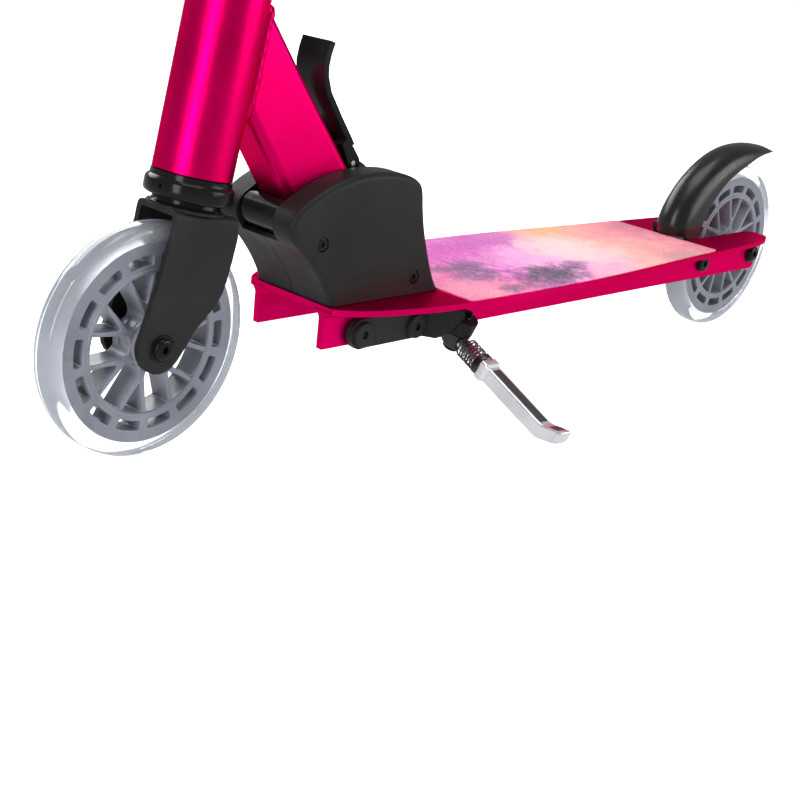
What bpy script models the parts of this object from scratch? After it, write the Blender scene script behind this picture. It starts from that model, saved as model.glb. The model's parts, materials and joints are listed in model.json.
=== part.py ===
# Folding kick scooter, 145 mm wheels, standing upright with its kickstand out.
# Metres, +X forward, +Y left (kickstand side), +Z up, floor at z = 0.
# Sizes below are in millimetres, measured from the rear axle, and are moved
# by X_SHIFT and scaled when each mesh is made.
from math import asin, cos, pi, radians, sin, sqrt

import bpy
from mathutils import Matrix, Vector
from mathutils.geometry import delaunay_2d_cdt

# ---- driving dimensions (mm, degrees) ----
X_SHIFT = -321.25
WHEELBASE = 642.5
WHEEL_R = 72.5
TYRE_W = 18.0
CORE_R = 62.2
CORE_W = 17.4
SPOKE_W = 14.4
PETALS = 7
SLOTS = 14
RAKE = 9.5
STEER_X = 630.4
HEAD_R = 24.2
HEAD_LOW, HEAD_HIGH = 99.6, 220.0
CROWN_S = 80.0
FORK_HALF = 19.2
PLATE_T = 4.0
BAR_S = 788.0
BAR_HALF = 200.0
COLUMN_R = 17.0
TBAR_R = 14.2
DECK_TOP = 87.5
DECK_T = 4.0
DECK_FRONT = 523.5
FLANGE_Y, FLANGE_T, FLANGE_LOW = 33.3, 5.0, 58.8
SLOT_HALF, SLOT_FRONT = 17.5, 84.0
PIVOT = (549.0, 143.0)
TUBE_HALF = 16.0
COVER_Y = 36.0
COVER_WALL = 3.0
PIN_R, PIN_AT, PIN_ANGLE = 2.6, 44.0, 158.0
LEVER_PIVOT = (492.5, 173.5)
LEVER_HALF = 12.8
FENDER_BOLT = (79.0, 71.5)
FENDER_HALF = 16.8
STAND_PIVOT = (404.0, 46.0, 59.0)
STAND_OUT = (6.0, 86.0, -36.0)
GAP = 0.3

MM = 0.001
for old in list(bpy.data.objects):
    bpy.data.objects.remove(old, do_unlink=True)


# ---- materials ----
def material(name, colour, metallic, roughness, alpha=1.0):
    mat = bpy.data.materials.new(name)
    mat.use_nodes = True
    bsdf = mat.node_tree.nodes["Principled BSDF"]
    bsdf.inputs["Base Color"].default_value = (*colour, 1.0)
    bsdf.inputs["Metallic"].default_value = metallic
    bsdf.inputs["Roughness"].default_value = roughness
    bsdf.inputs["Alpha"].default_value = alpha
    mat.diffuse_color = (*colour, alpha)
    return mat


PINK = ((0.72, 0.0, 0.16), 0.8, 0.32)
BLACK = ((0.022, 0.022, 0.024), 0.0, 0.45)
GLOSS = ((0.01, 0.01, 0.011), 0.0, 0.15)
STEEL = ((0.55, 0.56, 0.58), 1.0, 0.3)
SILVER = ((0.75, 0.76, 0.78), 1.0, 0.28)
CORE = ((0.17, 0.17, 0.22), 0.0, 0.4)
TYRE = ((0.75, 0.78, 0.82), 0.0, 0.12)
TAPE = ((0.8, 0.3, 0.5), 0.0, 0.9)
RUBBER = ((0.015, 0.015, 0.016), 0.0, 0.75)


# ---- mesh helpers ----
def make(name, points, faces, look, origin=None, smooth=False):
    """One named object; points in mm, origin on its joint axis if it moves."""
    base = Vector(origin) if origin else Vector((0.0, 0.0, 0.0))
    base_m = Vector((base.x + X_SHIFT, base.y, base.z)) * MM if origin else base
    mesh = bpy.data.meshes.new(name)
    verts = [Vector((p[0] + X_SHIFT, p[1], p[2])) * MM - base_m for p in points]
    mesh.from_pydata(verts, [], faces)
    mesh.update()
    obj = bpy.data.objects.new(name, mesh)
    obj.location = base_m
    bpy.context.scene.collection.objects.link(obj)
    mesh.materials.append(material(name, *look))
    if smooth:
        for poly in mesh.polygons:
            poly.use_smooth = True
    return obj


def combine(obj, other, operation):
    """Boolean the other object into obj and remove it."""
    bpy.context.view_layer.update()
    mod = obj.modifiers.new("join", "BOOLEAN")
    mod.operation = operation
    mod.solver = "EXACT"
    mod.object = other
    graph = bpy.context.evaluated_depsgraph_get()
    done = bpy.data.meshes.new_from_object(obj.evaluated_get(graph))
    obj.modifiers.clear()
    obj.data = done
    while len(done.materials) > 1:
        done.materials.pop()
    for poly in done.polygons:
        poly.material_index = 0
    bpy.data.objects.remove(other, do_unlink=True)
    return obj


def union(obj, *others):
    for other in others:
        combine(obj, other, "UNION")
    return obj


def cut(obj, *others):
    for other in others:
        combine(obj, other, "DIFFERENCE")
    return obj


def shade(obj, limit=35.0):
    """Smooth every face and keep edges sharper than the limit crisp."""
    mesh = obj.data
    for poly in mesh.polygons:
        poly.use_smooth = True
    mesh.set_sharp_from_angle(angle=radians(limit))
    return obj


def inside(point, loop):
    hit = False
    for (x1, y1), (x2, y2) in zip(loop, loop[1:] + loop[:1]):
        if (y1 > point[1]) != (y2 > point[1]):
            if point[0] < (x2 - x1) * (point[1] - y1) / (y2 - y1) + x1:
                hit = not hit
    return hit


def flat(loop, holes):
    """Triangles of a flat outline with holes."""
    loops = [loop] + list(holes)
    points = [Vector(p) for ring in loops for p in ring]
    edges, start = [], 0
    for ring in loops:
        count = len(ring)
        edges += [(start + i, start + (i + 1) % count) for i in range(count)]
        start += count
    verts, _, tris, *_ = delaunay_2d_cdt(points, edges, [], 1, 1e-7)
    keep = []
    for tri in tris:
        mid = (sum(verts[i][0] for i in tri) / 3, sum(verts[i][1] for i in tri) / 3)
        if inside(mid, loop) and not any(inside(mid, hole) for hole in holes):
            a, b, c = (verts[i] for i in tri)
            area = (b[0] - a[0]) * (c[1] - a[1]) - (b[1] - a[1]) * (c[0] - a[0])
            keep.append(tuple(tri) if area > 0 else tuple(tri)[::-1])
    return [(v[0], v[1]) for v in verts], keep


def prism(name, loop, low, high, look, holes=(), place=None, origin=None):
    """Flat outline pushed from low to high; place maps (a, b, h) to (x, y, z)."""
    place = place or (lambda a, b, h: (a, h, b))
    verts, tris = flat(loop, holes)
    count = len(verts)
    points = [place(a, b, low) for a, b in verts] + [place(a, b, high) for a, b in verts]
    used = {}
    for tri in tris:
        for i, j in zip(tri, tri[1:] + tri[:1]):
            used[(i, j)] = True
    faces = [tuple(tri) for tri in tris]
    faces += [tuple(i + count for i in tri[::-1]) for tri in tris]
    for i, j in used:
        if (j, i) not in used:
            faces.append((j, i, i + count, j + count))
    obj = make(name, points, faces, look, origin)
    return face_out(obj)


def face_out(obj):
    """Turn the faces outward when the signed volume is negative."""
    mesh = obj.data
    volume = 0.0
    for poly in mesh.polygons:
        ids = list(poly.vertices)
        a = mesh.vertices[ids[0]].co
        for i in range(1, len(ids) - 1):
            b, c = mesh.vertices[ids[i]].co, mesh.vertices[ids[i + 1]].co
            volume += a.dot(b.cross(c))
    if volume < 0:
        mesh.flip_normals()
    return obj


def frame_of(axis):
    """Three unit directions, the third along axis."""
    w = Vector(axis).normalized()
    side = Vector((0, 1, 0)) if abs(w.y) < 0.9 else Vector((1, 0, 0))
    u = side.cross(w).normalized()
    return u, w.cross(u), w


def lathe(name, profile, at, axis, look, segs=32, origin=None, hollow=False, turn=0.0):
    """Turn (radius, height) points about an axis; hollow closes the loop on itself."""
    u, v, w = frame_of(axis)
    at = Vector(at)
    points, rings = [], []
    for radius, height in profile:
        if radius <= 0:
            rings.append([len(points)] * segs)
            points.append(at + w * height)
            continue
        rings.append(list(range(len(points), len(points) + segs)))
        for i in range(segs):
            ang = 2 * pi * (i + turn) / segs
            points.append(at + w * height + (u * cos(ang) + v * sin(ang)) * radius)
    pairs = list(zip(rings, rings[1:] + rings[:1])) if hollow else list(zip(rings, rings[1:]))
    faces = []
    for lower, upper in pairs:
        for i in range(segs):
            j = (i + 1) % segs
            quad = [lower[i], lower[j], upper[j], upper[i]]
            face = [q for k, q in enumerate(quad) if q != quad[k - 1]]
            if len(face) > 2:
                faces.append(tuple(face))
    obj = make(name, points, faces, look, origin)
    return shade(face_out(obj))


def rod(name, start, end, radius, look, segs=24, origin=None, bevel=0.0):
    axis = Vector(end) - Vector(start)
    length = axis.length
    if bevel:
        profile = [(0, 0), (radius - bevel, 0), (radius, bevel), (radius, length - bevel),
                   (radius - bevel, length), (0, length)]
    else:
        profile = [(0, 0), (radius, 0), (radius, length), (0, length)]
    return lathe(name, profile, start, axis, look, segs, origin)


def ring(name, start, end, outer, inner, look, segs=32, origin=None):
    axis = Vector(end) - Vector(start)
    profile = [(inner, 0), (outer, 0), (outer, axis.length), (inner, axis.length)]
    return lathe(name, profile, start, axis, look, segs, origin, hollow=True)


def loft(name, sections, look, origin=None):
    """Skin equal-length closed sections and cap both ends."""
    count = len(sections[0])
    points = [p for section in sections for p in section]
    faces = []
    for k in range(len(sections) - 1):
        for i in range(count):
            j = (i + 1) % count
            a, b = k * count, (k + 1) * count
            faces.append((a + i, a + j, b + j, b + i))
    faces.append(tuple(range(count))[::-1])
    faces.append(tuple(range((len(sections) - 1) * count, len(sections) * count)))
    return face_out(make(name, points, faces, look, origin))


def rounded(half_a, low_b, high_b, radius, steps=3):
    """Rounded rectangle in (a, b)."""
    out = []
    corners = ((half_a, high_b, 0), (-half_a, high_b, 90), (-half_a, low_b, 180),
               (half_a, low_b, 270))
    for a, b, start in corners:
        ca = a - radius * (1 if a > 0 else -1)
        cb = b - radius if b == high_b else b + radius
        for i in range(steps + 1):
            ang = radians(start + 90 * i / steps)
            out.append((ca + radius * cos(ang), cb + radius * sin(ang)))
    return out


def arc(cx, cy, radius, start, end, steps):
    out = []
    for i in range(steps + 1):
        ang = radians(start + (end - start) * i / steps)
        out.append((cx + radius * cos(ang), cy + radius * sin(ang)))
    return out


def spring(name, at, axis, radius, wire, coils, length, look, origin=None,
           segs=10, sides=4):
    """Closed round-wire coil along an axis."""
    u, v, w = frame_of(axis)
    at = Vector(at)
    steps = int(coils * segs)
    sections = []
    for i in range(steps + 1):
        ang = 2 * pi * i / segs
        out = u * cos(ang) + v * sin(ang)
        centre = at + out * radius + w * (length * i / steps)
        sections.append([centre + (out * cos(2 * pi * k / sides)
                                   + w * sin(2 * pi * k / sides)) * wire
                         for k in range(sides)])
    obj = loft(name, sections, look, origin)
    return shade(obj, 60)


def offset_line(points, distance):
    """Open line moved sideways by distance (positive to its left)."""
    out = []
    for i, p in enumerate(points):
        a = points[max(i - 1, 0)]
        b = points[min(i + 1, len(points) - 1)]
        dx, dy = b[0] - a[0], b[1] - a[1]
        size = sqrt(dx * dx + dy * dy)
        out.append((p[0] - dy / size * distance, p[1] + dx / size * distance))
    return out


# ---- steering axis frame: u forward, v left, s up the column ----
AXIS_S = Vector((-sin(radians(RAKE)), 0, cos(radians(RAKE))))
AXIS_U = Vector((cos(radians(RAKE)), 0, sin(radians(RAKE))))
FOOT = Vector((STEER_X, 0, WHEEL_R))


def col(u, v, s):
    """Column coordinates to the scooter's."""
    p = FOOT + AXIS_U * u + AXIS_S * s
    return (p.x, p.y + v, p.z)


STEER_O = col(0, 0, HEAD_LOW)
FRONT_AXLE = (WHEELBASE, 0, WHEEL_R)
REAR_AXLE = (0, 0, WHEEL_R)


# ---- wheels ----
def wheel_core(name, axle, turn):
    """Rim band, seven U-shaped windows between ribs, and the hub."""
    outer = arc(0, 0, CORE_R, 0, 360, 52)[:-1]
    band_in = arc(0, 0, 43.6, 0, 360, 42)[:-1]
    slots = []
    for k in range(SLOTS):
        mid = turn + 360.0 * k / SLOTS
        slots.append(arc(0, 0, 54.4, mid - 9, mid + 9, 2)
                     + arc(0, 0, 48.6, mid + 9, mid - 9, 2))
    petals, fans = [], []
    for k in range(PETALS):
        mid = radians(turn + 360.0 * k / PETALS)
        local = [(42.4, -8.6), (20.5, -6.9), (17.3, -5.6), (15.4, -3.2), (15.0, 0.0)]
        local += [(a, -b) for a, b in local[-2::-1]]
        local = [(sqrt(42.4 ** 2 - 8.6 ** 2), -8.6)] + local[1:-1] \
            + [(sqrt(42.4 ** 2 - 8.6 ** 2), 8.6), (42.4, 0.0)]
        petals.append([(a * cos(mid) - b * sin(mid), a * sin(mid) + b * cos(mid))
                       for a, b in local])
        mid += pi / PETALS
        fan = [(25.2, -0.9), (sqrt(42.4 ** 2 - 7.4 ** 2), -7.4), (42.4, 0.0),
               (sqrt(42.4 ** 2 - 7.4 ** 2), 7.4), (25.2, 0.9)]
        fans.append([(a * cos(mid) - b * sin(mid), a * sin(mid) + b * cos(mid))
                     for a, b in fan])
    bore = arc(0, 0, 11.3, 0, 360, 18)[:-1]

    def place(a, b, h):
        return (axle[0] + a, h, axle[2] + b)

    half = CORE_W / 2
    core = prism(name, outer, -half, half, CORE, holes=[band_in] + slots,
                 place=place, origin=axle)
    web = prism("web", arc(0, 0, 44.4, 3, 363, 42)[:-1], -SPOKE_W / 2, SPOKE_W / 2, CORE,
                holes=[bore] + petals + fans, place=place, origin=axle)
    hub = ring("hub", (axle[0], -10.4, axle[2]), (axle[0], 10.4, axle[2]), 14.2, 11.3,
               CORE, 18, axle)
    return shade(union(core, web, hub))


def tyre(name, axle):
    half = TYRE_W / 2
    profile = [(CORE_R + GAP, -half + 0.6), (66.5, -half), (70.9, -half + 2.4),
               (WHEEL_R, -half + 6.2), (WHEEL_R, half - 6.2), (70.9, half - 2.4),
               (66.5, half), (CORE_R + GAP, half - 0.6)]
    return lathe(name, profile, axle, (0, 1, 0), TYRE, 52, axle, hollow=True)


def bearing(name, axle, side):
    low, high = (3.4, 10.2) if side > 0 else (-10.2, -3.4)
    return ring(name, (axle[0], low, axle[2]), (axle[0], high, axle[2]), 11.0, 4.3,
                STEEL, 18, axle)


def axle_bolt(name, axle, half, clamp, head, look):
    """Axle with spacer shoulders, a round socket head on the left, threaded end right."""
    x, _, z = axle
    seat = half - clamp - GAP
    profile = [(0, -half - 7.5), (3.6, -half - 7.5), (4.0, -half - 7.0), (4.0, -seat),
               (6.4, -seat), (6.4, -10.7), (4.0, -10.7), (4.0, 10.7), (6.4, 10.7),
               (6.4, seat), (4.0, seat), (4.0, half + GAP), (head, half + GAP),
               (head, half + 2.6), (head - 1.8, half + 3.6), (3.0, half + 3.6),
               (3.0, half + 1.4), (0, half + 1.4)]
    return lathe(name, profile, (x, 0, z), (0, 1, 0), look, 18)


def hex_nut(name, x, z, face, look, size=7.2, bore=4.3, thick=5.5):
    """Hex nut against a face that looks right (-Y)."""
    nut = rod(name, (x, face - GAP, z), (x, face - GAP - thick, z), size, look, 6, bevel=0)
    nut = cut(nut, rod("hole", (x, face + 2, z), (x, face - thick - 4, z), bore, look, 14))
    return shade(nut)


wheel_core("front_wheel_core", FRONT_AXLE, 1.0)
tyre("front_tyre", FRONT_AXLE)
bearing("front_bearing_left", FRONT_AXLE, 1)
bearing("front_bearing_right", FRONT_AXLE, -1)
wheel_core("rear_wheel_core", REAR_AXLE, 15.0)
tyre("rear_tyre", REAR_AXLE)
bearing("rear_bearing_left", REAR_AXLE, 1)
bearing("rear_bearing_right", REAR_AXLE, -1)

# ---- fork: bent plate, crown race and steerer ----
SIDE = [(4.5, 84.0), (4.5, 78.6), (3.2, 70.0), (-0.6, 58.0), (-4.0, 44.0), (-8.6, 29.0),
        (-13.6, 14.5)]
SIDE += arc(-0.6, 0.6, 16.4, 150, 322, 10)[1:]
SIDE += [(19.0, -0.5), (23.0, 6.2), (30.8, 14.4), (37.6, 20.4), (43.4, 28.6), (46.2, 37.0),
         (49.2, 49.0), (51.8, 62.0), (51.4, 84.0)]
side_loop = [(WHEELBASE - p, WHEEL_R + q) for p, q in SIDE]
hoop = [(FORK_HALF, -30.0)]
hoop += arc(FORK_HALF - 5, CROWN_S - 5, 5, 0, 90, 4)
hoop += arc(-FORK_HALF + 5, CROWN_S - 5, 5, 90, 180, 4)
hoop += [(-FORK_HALF, -30.0), (-FORK_HALF + PLATE_T, -30.0)]
hoop += arc(-FORK_HALF + 5.5, CROWN_S - 5.5, 1.5, 180, 90, 2)
hoop += arc(FORK_HALF - 5.5, CROWN_S - 5.5, 1.5, 90, 0, 2)
hoop += [(FORK_HALF - PLATE_T, -30.0)]
fork = prism("fork", hoop, -60, 60, BLACK, place=lambda v, s, u: col(u, v, s), origin=STEER_O)
combine(fork, prism("side", side_loop, -40, 40, BLACK), "INTERSECT")
union(fork, lathe("race", [(0, 79), (22.6, 79), (21.0, 81.2), (20.4, 84.3), (14.2, 84.6),
                           (14.2, 300), (0, 300)], FOOT, AXIS_S, BLACK, 26))
cut(fork, rod("axle_hole", (WHEELBASE, -30, WHEEL_R), (WHEELBASE, 30, WHEEL_R), 4.3,
              BLACK, 18), rod("steerer_bore", col(0, 0, 90), col(0, 0, 310), 11.6, BLACK, 20))
shade(fork)
axle_bolt("front_axle", FRONT_AXLE, FORK_HALF, PLATE_T, 9.6, GLOSS)
hex_nut("front_axle_nut", WHEELBASE, WHEEL_R, -FORK_HALF, STEEL)


# ---- headset, column and handlebar ----
def turned(name, profile, look, segs=32, origin=STEER_O, hollow=True):
    return lathe(name, profile, FOOT, AXIS_S, look, segs, origin, hollow=hollow)


turned("headset_cup_lower", [(17.0, 85.2), (25.4, 85.2), (27.0, 86.6), (27.0, 94.6),
                             (25.6, 96.2), (24.6, 99.3), (17.0, 99.3)], GLOSS, 32, None)
turned("headset_cup_upper", [(17.0, 220.4), (24.6, 220.4), (26.4, 223.0), (26.4, 228.2),
                             (24.8, 230.0), (17.0, 230.0)], GLOSS, 32, None)
nut = turned("headset_locknut", [(0, 230.4), (21.5, 230.4), (22.0, 231.4), (22.0, 239.0),
                                 (20.4, 240.2), (0, 240.2)], BLACK, 8, STEER_O, False)
shade(cut(nut, rod("hole", col(0, 0, 228), col(0, 0, 243), TBAR_R + 0.4, BLACK, 26)))
turned("column_tube", [(14.6, 241.0), (COLUMN_R, 241.0), (COLUMN_R, 560.0), (14.6, 560.0)],
       BLACK, 26)


def collar(name, low, high, outer, look, slit):
    """Clamp band round the column with a slit and two ears behind it."""
    inner = COLUMN_R + GAP
    beta = 180.0 - asin(9.0 / outer) * 180.0 / pi
    gamma = 180.0 - asin(slit / inner) * 180.0 / pi
    loop = [(-outer - 11, slit), (-outer - 11, 9.0)]
    loop += arc(0, 0, outer, beta, -beta, 26)
    loop += [(-outer - 11, -9.0), (-outer - 11, -slit)]
    loop += arc(0, 0, inner, -gamma, gamma, 26)
    return prism(name, loop, low, high, look, place=col, origin=STEER_O)


EAR_U = -27.5
clamp = collar("column_collar", 246.0, 284.0, 21.5, BLACK, 1.2)
for s in (256.0, 274.0):
    cut(clamp, rod("hole", col(EAR_U, -20, s), col(EAR_U, 20, s), 2.8, BLACK, 12))
shade(clamp)
for index, s in enumerate((256.0, 274.0)):
    lathe("collar_bolt_%d" % (index + 1),
          [(0, -12.0), (2.5, -12.0), (2.5, 9.3), (4.4, 9.3), (4.4, 13.3), (2.0, 13.3),
           (2.0, 11.0), (0, 11.0)], col(EAR_U, 0, s), (0, 1, 0), STEEL, 12, STEER_O)
clamp = collar("height_clamp", 536.0, 566.0, 21.8, GLOSS, 1.4)
cut(clamp, rod("hole", col(EAR_U, -20, 551), col(EAR_U, 20, 551), 2.8, GLOSS, 12))
shade(clamp)
lathe("quick_release_bolt",
      [(0, -14.2), (5.4, -14.2), (5.4, -9.3), (2.5, -9.3), (2.5, 16.6), (0, 16.6)],
      col(EAR_U, 0, 551), (0, 1, 0), STEEL, 14, STEER_O)
# The lever turns about a pin across the bolt's end, along the column.
CAM = col(EAR_U, 15.6, 551)
lever_line = [(0, 1.5), (10, 5.0), (20, 8.6), (34, 11.6), (50, 13.2), (64, 13.4)]
lever_loop = offset_line(lever_line, 2.4) + offset_line(lever_line, -2.4)[::-1]


def qr_place(a, b, h):
    return col(EAR_U + a, 17.4 + b, 551 + h)


lever = prism("quick_release_lever", lever_loop, -6.5, 6.5, GLOSS, place=qr_place, origin=CAM)
eye = rod("eye", col(EAR_U, 15.6, 544), col(EAR_U, 15.6, 558), 6.0, GLOSS, 14)
union(lever, eye)
cut(lever, prism("room", [(-9, -12), (3.2, -12), (3.2, 1.6), (-1.0, 6.0), (-9, 6.0)], -3.1, 3.1,
                 GLOSS, place=qr_place))
shade(lever)

tbar = turned("handlebar", [(0, 400), (TBAR_R, 400), (TBAR_R, BAR_S + 2), (0, BAR_S + 2)],
              SILVER, 26, STEER_O, False)
union(tbar, rod("cross", col(0, -BAR_HALF + 3, BAR_S), col(0, BAR_HALF - 3, BAR_S), 11.0,
                SILVER, 26))
cut(tbar, rod("post_bore", col(0, 0, 390), col(0, 0, 775), 12.4, SILVER, 20),
    rod("bar_bore", col(0, -BAR_HALF, BAR_S), col(0, BAR_HALF, BAR_S), 9.2, SILVER, 16))
shade(tbar)
for side, name in ((1, "grip_left"), (-1, "grip_right")):
    inner, outer = 86.0, BAR_HALF
    profile = [(11.3, inner), (19.0, inner), (19.0, inner + 3), (15.6, inner + 5),
               (16.2, inner + 75), (17.4, outer - 4), (16.4, outer), (0, outer),
               (0, outer - 2.7), (11.3, outer - 2.7)]
    lathe(name, profile, col(0, 0, BAR_S), (0, side, 0), RUBBER, 22, STEER_O, hollow=True)

# ---- deck ----
HALF_WIDTH = [(523.5, 37.0), (522.0, 41.0), (511.0, 48.5), (496.0, 54.2), (480.0, 58.4),
              (462.0, 62.0), (442.0, 65.0), (420.0, 66.8), (380.0, 68.0), (330.0, 68.2),
              (280.0, 67.0), (235.0, 64.5), (196.0, 61.4), (150.0, 57.6), (105.0, 54.2),
              (74.0, 52.2), (40.0, 49.4), (15.0, 46.6), (-4.0, 42.6), (-14.0, 37.0),
              (-17.0, 31.0), (-17.0, 23.5), (-13.0, 18.6)]
outline = HALF_WIDTH + [(-9.0, SLOT_HALF), (SLOT_FRONT - 1.5, SLOT_HALF)]
outline += arc(SLOT_FRONT - 1.5, SLOT_HALF - 1.5, 1.5, 90, 0, 2)
outline += [(x, -y) for x, y in outline[::-1]]


def level(a, b, h):
    return (a, b, h)


deck = prism("deck", outline, DECK_TOP - DECK_T, DECK_TOP, PINK, place=level)
for side in (1, -1):
    flange = [(-9.0, 84.5), (-9.0, 62.0), (-6.0, FLANGE_LOW), (521.0, FLANGE_LOW),
              (525.0, 63.0), (523.0, 84.5)]
    low, high = sorted((side * (FLANGE_Y - FLANGE_T), side * FLANGE_Y))
    union(deck, prism("flange", flange, low, high, PINK))
for x, z, r in ((0.0, WHEEL_R, 4.3), (FENDER_BOLT[0], FENDER_BOLT[1], 4.3)):
    cut(deck, rod("hole", (x, -50, z), (x, 50, z), r, PINK, 18))
for x, z in ((492.6, 66.7), (442.0, 66.0)):
    cut(deck, rod("hole", (x, 20, z), (x, 50, z), 4.3, PINK, 14))
shade(deck)

tape_side = []
for x, y in HALF_WIDTH:
    if 92 < x < 416:
        tape_side.append((x, y - 1.6))
tape = [(418.8, 62.6), (416.4, 65.3)] + tape_side + [(92.0, 51.6), (90.0, 49.5)]
tape += [(x, -y) for x, y in tape[::-1]]
prism("grip_tape", tape, DECK_TOP + 0.1, DECK_TOP + 1.0, TAPE, place=level)

# ---- fold bracket, pivot and covers ----
PX, PZ = PIVOT
RIM, TRACK = PIN_AT - PIN_R - 0.4, PIN_AT + 6.5
plate = arc(PX, PZ, 7.6, -50, 90, 5)
plate += [(535.0, 156.8), (520.0, 161.2), (512.5, 163.9)]
plate += arc(PX, PZ, 45.0, 149.6, 153.0, 1)
plate += arc(PX, PZ, RIM, 153.2, 234.8, 12)
plate += arc(PX, PZ, TRACK, 234.8, 214, 3)
plate += [(492.0, 110.0), (446.0, 109.0), (437.0, 104.0), (432.0, 90.0)]
plate += [(516.5, 90.0), (519.6, 94.0), (526.8, 105.0), (537.0, 117.4), (548.0, 128.0)]
bracket = None
for low, high in ((16.7, 19.7), (-19.7, -16.7)):
    cheek = prism("fold_bracket", plate, low, high, BLACK)
    bracket = cheek if bracket is None else bracket
    if cheek != bracket:
        foot_plate = [(430.0, -19.7), (517.5, -19.7), (517.5, 19.7), (430.0, 19.7)]
        union(bracket, prism("base", foot_plate, DECK_TOP + GAP, 90.8, BLACK, place=level),
              cheek)
bracket.name = "fold_bracket"
cut(bracket, rod("hole", (PX, -30, PZ), (PX, 30, PZ), 4.3, BLACK, 18))
SCREWS = ((534.9, 129.7), (446.5, 99.6))
for x, z in SCREWS:
    cut(bracket, rod("hole", (x, -30, z), (x, 30, z), 2.3, BLACK, 12))
shade(bracket)
lathe("fold_pivot_bolt", [(0, -28.0), (4.0, -28.0), (4.0, 20.0), (6.6, 20.0), (6.6, 24.0),
                          (3.0, 24.0), (3.0, 22.0), (0, 22.0)], (PX, 0, PZ), (0, 1, 0),
      STEEL, 18)
hex_nut("fold_pivot_nut", PX, PZ, -19.7, STEEL, 7.0, 4.3, 5.0)

TOP = [(522.5, 88.0), (525.0, 95.0), (533.0, 107.0), (544.0, 119.6), (555.0, 129.0),
       (560.4, 136.0), (562.0, 143.0), (558.8, 150.0), (552.0, 154.8), (543.0, 160.0),
       (527.0, 166.6), (510.0, 170.6), (492.0, 172.0), (474.0, 171.0), (460.0, 168.0),
       (450.5, 163.4), (446.6, 157.0), (444.0, 145.0), (439.0, 128.0), (428.5, 103.0),
       (419.5, 88.0)]
NEAR = offset_line(TOP, COVER_WALL)
NEAR[0] = (NEAR[0][0], 84.0)
NEAR[-1] = (NEAR[-1][0], 84.0)
SOFT = offset_line(TOP, 2.6)
SOFT[0] = (SOFT[0][0], 88.0)
SOFT[-1] = (SOFT[-1][0], 88.0)


def cover(name, side):
    """Half shell: outer wall, rim wall to the tube, and its half of the front wall."""
    y_in = 16.7
    rings = [(y_in, TOP), (COVER_Y - 2.6, TOP), (COVER_Y - 0.8, offset_line(TOP, 0.8)),
             (COVER_Y, SOFT)]
    sections = []
    for y, line in rings:
        sections.append([(x, side * y, max(z, 88.0) if 0 < i < len(line) - 1 else 88.0)
                         for i, (x, z) in enumerate(line)])
    shell = loft(name, sections, BLACK)
    pocket = prism("pocket", NEAR, *sorted((side * (y_in - 5), side * (COVER_Y - COVER_WALL))),
                   BLACK)
    cut(shell, pocket)
    for x, z in SCREWS:
        union(shell, rod("boss", (x, side * 20.2, z), (x, side * (COVER_Y - 2), z), 6.0,
                         BLACK, 14))
    front = [p for p in TOP[:5]]
    inner = offset_line(front, COVER_WALL)
    inner[0] = (inner[0][0], 88.0)
    wall = prism("front", front + inner[::-1], *sorted((side * 0.15, side * 17.5)), BLACK)
    union(shell, wall)
    for x, z in SCREWS:
        cut(shell,
            rod("hole", (x, side * 15, z), (x, side * 40, z), 2.3, BLACK, 12),
            rod("recess", (x, side * 33.4, z), (x, side * 40, z), 4.8, BLACK, 14))
    return shade(shell, 40)


cover("cover_left", 1)
cover("cover_right", -1)
for side, tag in ((1, "left"), (-1, "right")):
    for (x, z), place_name in zip(SCREWS, ("front", "rear")):
        lathe("cover_screw_%s_%s" % (place_name, tag),
              [(0, 16.9), (2.0, 16.9), (2.0, 33.7), (4.3, 33.7), (4.3, 35.6), (1.9, 35.6),
               (1.9, 34.4), (0, 34.4)], (x, 0, z), (0, side, 0), GLOSS, 12)

# ---- folding front frame ----
DOWN = Vector((-0.612, 0, -0.791)).normalized()
OUT = Vector((DOWN.z, 0, -DOWN.x))
TUBE_O = Vector((584.0, 0.0, 235.0))


def along(q, n, y=0.0):
    p = TUBE_O + DOWN * q + OUT * n
    return (p.x, y, p.z)


def tube_section(q, shrink=0.0):
    low = -18.9 - 0.027 * (q + 20) + shrink
    high = 25.7 + 0.0285 * (q + 17) - shrink
    return [along(q, n, y) for y, n in
            rounded(TUBE_HALF - shrink, low, high, 6.0 - shrink * 0.6)]


FOLD_O = (PX, 0.0, PZ)
frame = loft("front_frame", [tube_section(-16), tube_section(115)], PINK, FOLD_O)
union(frame, turned("head", [(0, HEAD_LOW), (HEAD_R, HEAD_LOW), (HEAD_R, HEAD_HIGH),
                             (0, HEAD_HIGH)], PINK, 32, None, False),
      rod("barrel", (PX, -16.3, PZ), (PX, 16.3, PZ), 11.0, PINK, 22))
lug = [along(q, n) for q, n in ((86, 26), (114.6, 26), (112.0, 34.0), (106.0, 40.0),
                                (101.0, 39.0), (97.0, 34.5))]
union(frame, prism("lug", [(p[0], p[2]) for p in lug], -4.3, 4.3, PINK))
cut(frame,
    loft("pocket", [tube_section(12, 3.0), tube_section(125, 3.0)], PINK),
    rod("bore", col(0, 0, 90), col(0, 0, 230), 17.6, PINK, 32),
    rod("hinge", (PX, -20, PZ), (PX, 20, PZ), 4.3, PINK, 18),
    rod("pin_hole", (LEVER_PIVOT[0], -10, LEVER_PIVOT[1]),
        (LEVER_PIVOT[0], 10, LEVER_PIVOT[1]), 2.3, PINK, 12))
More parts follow.
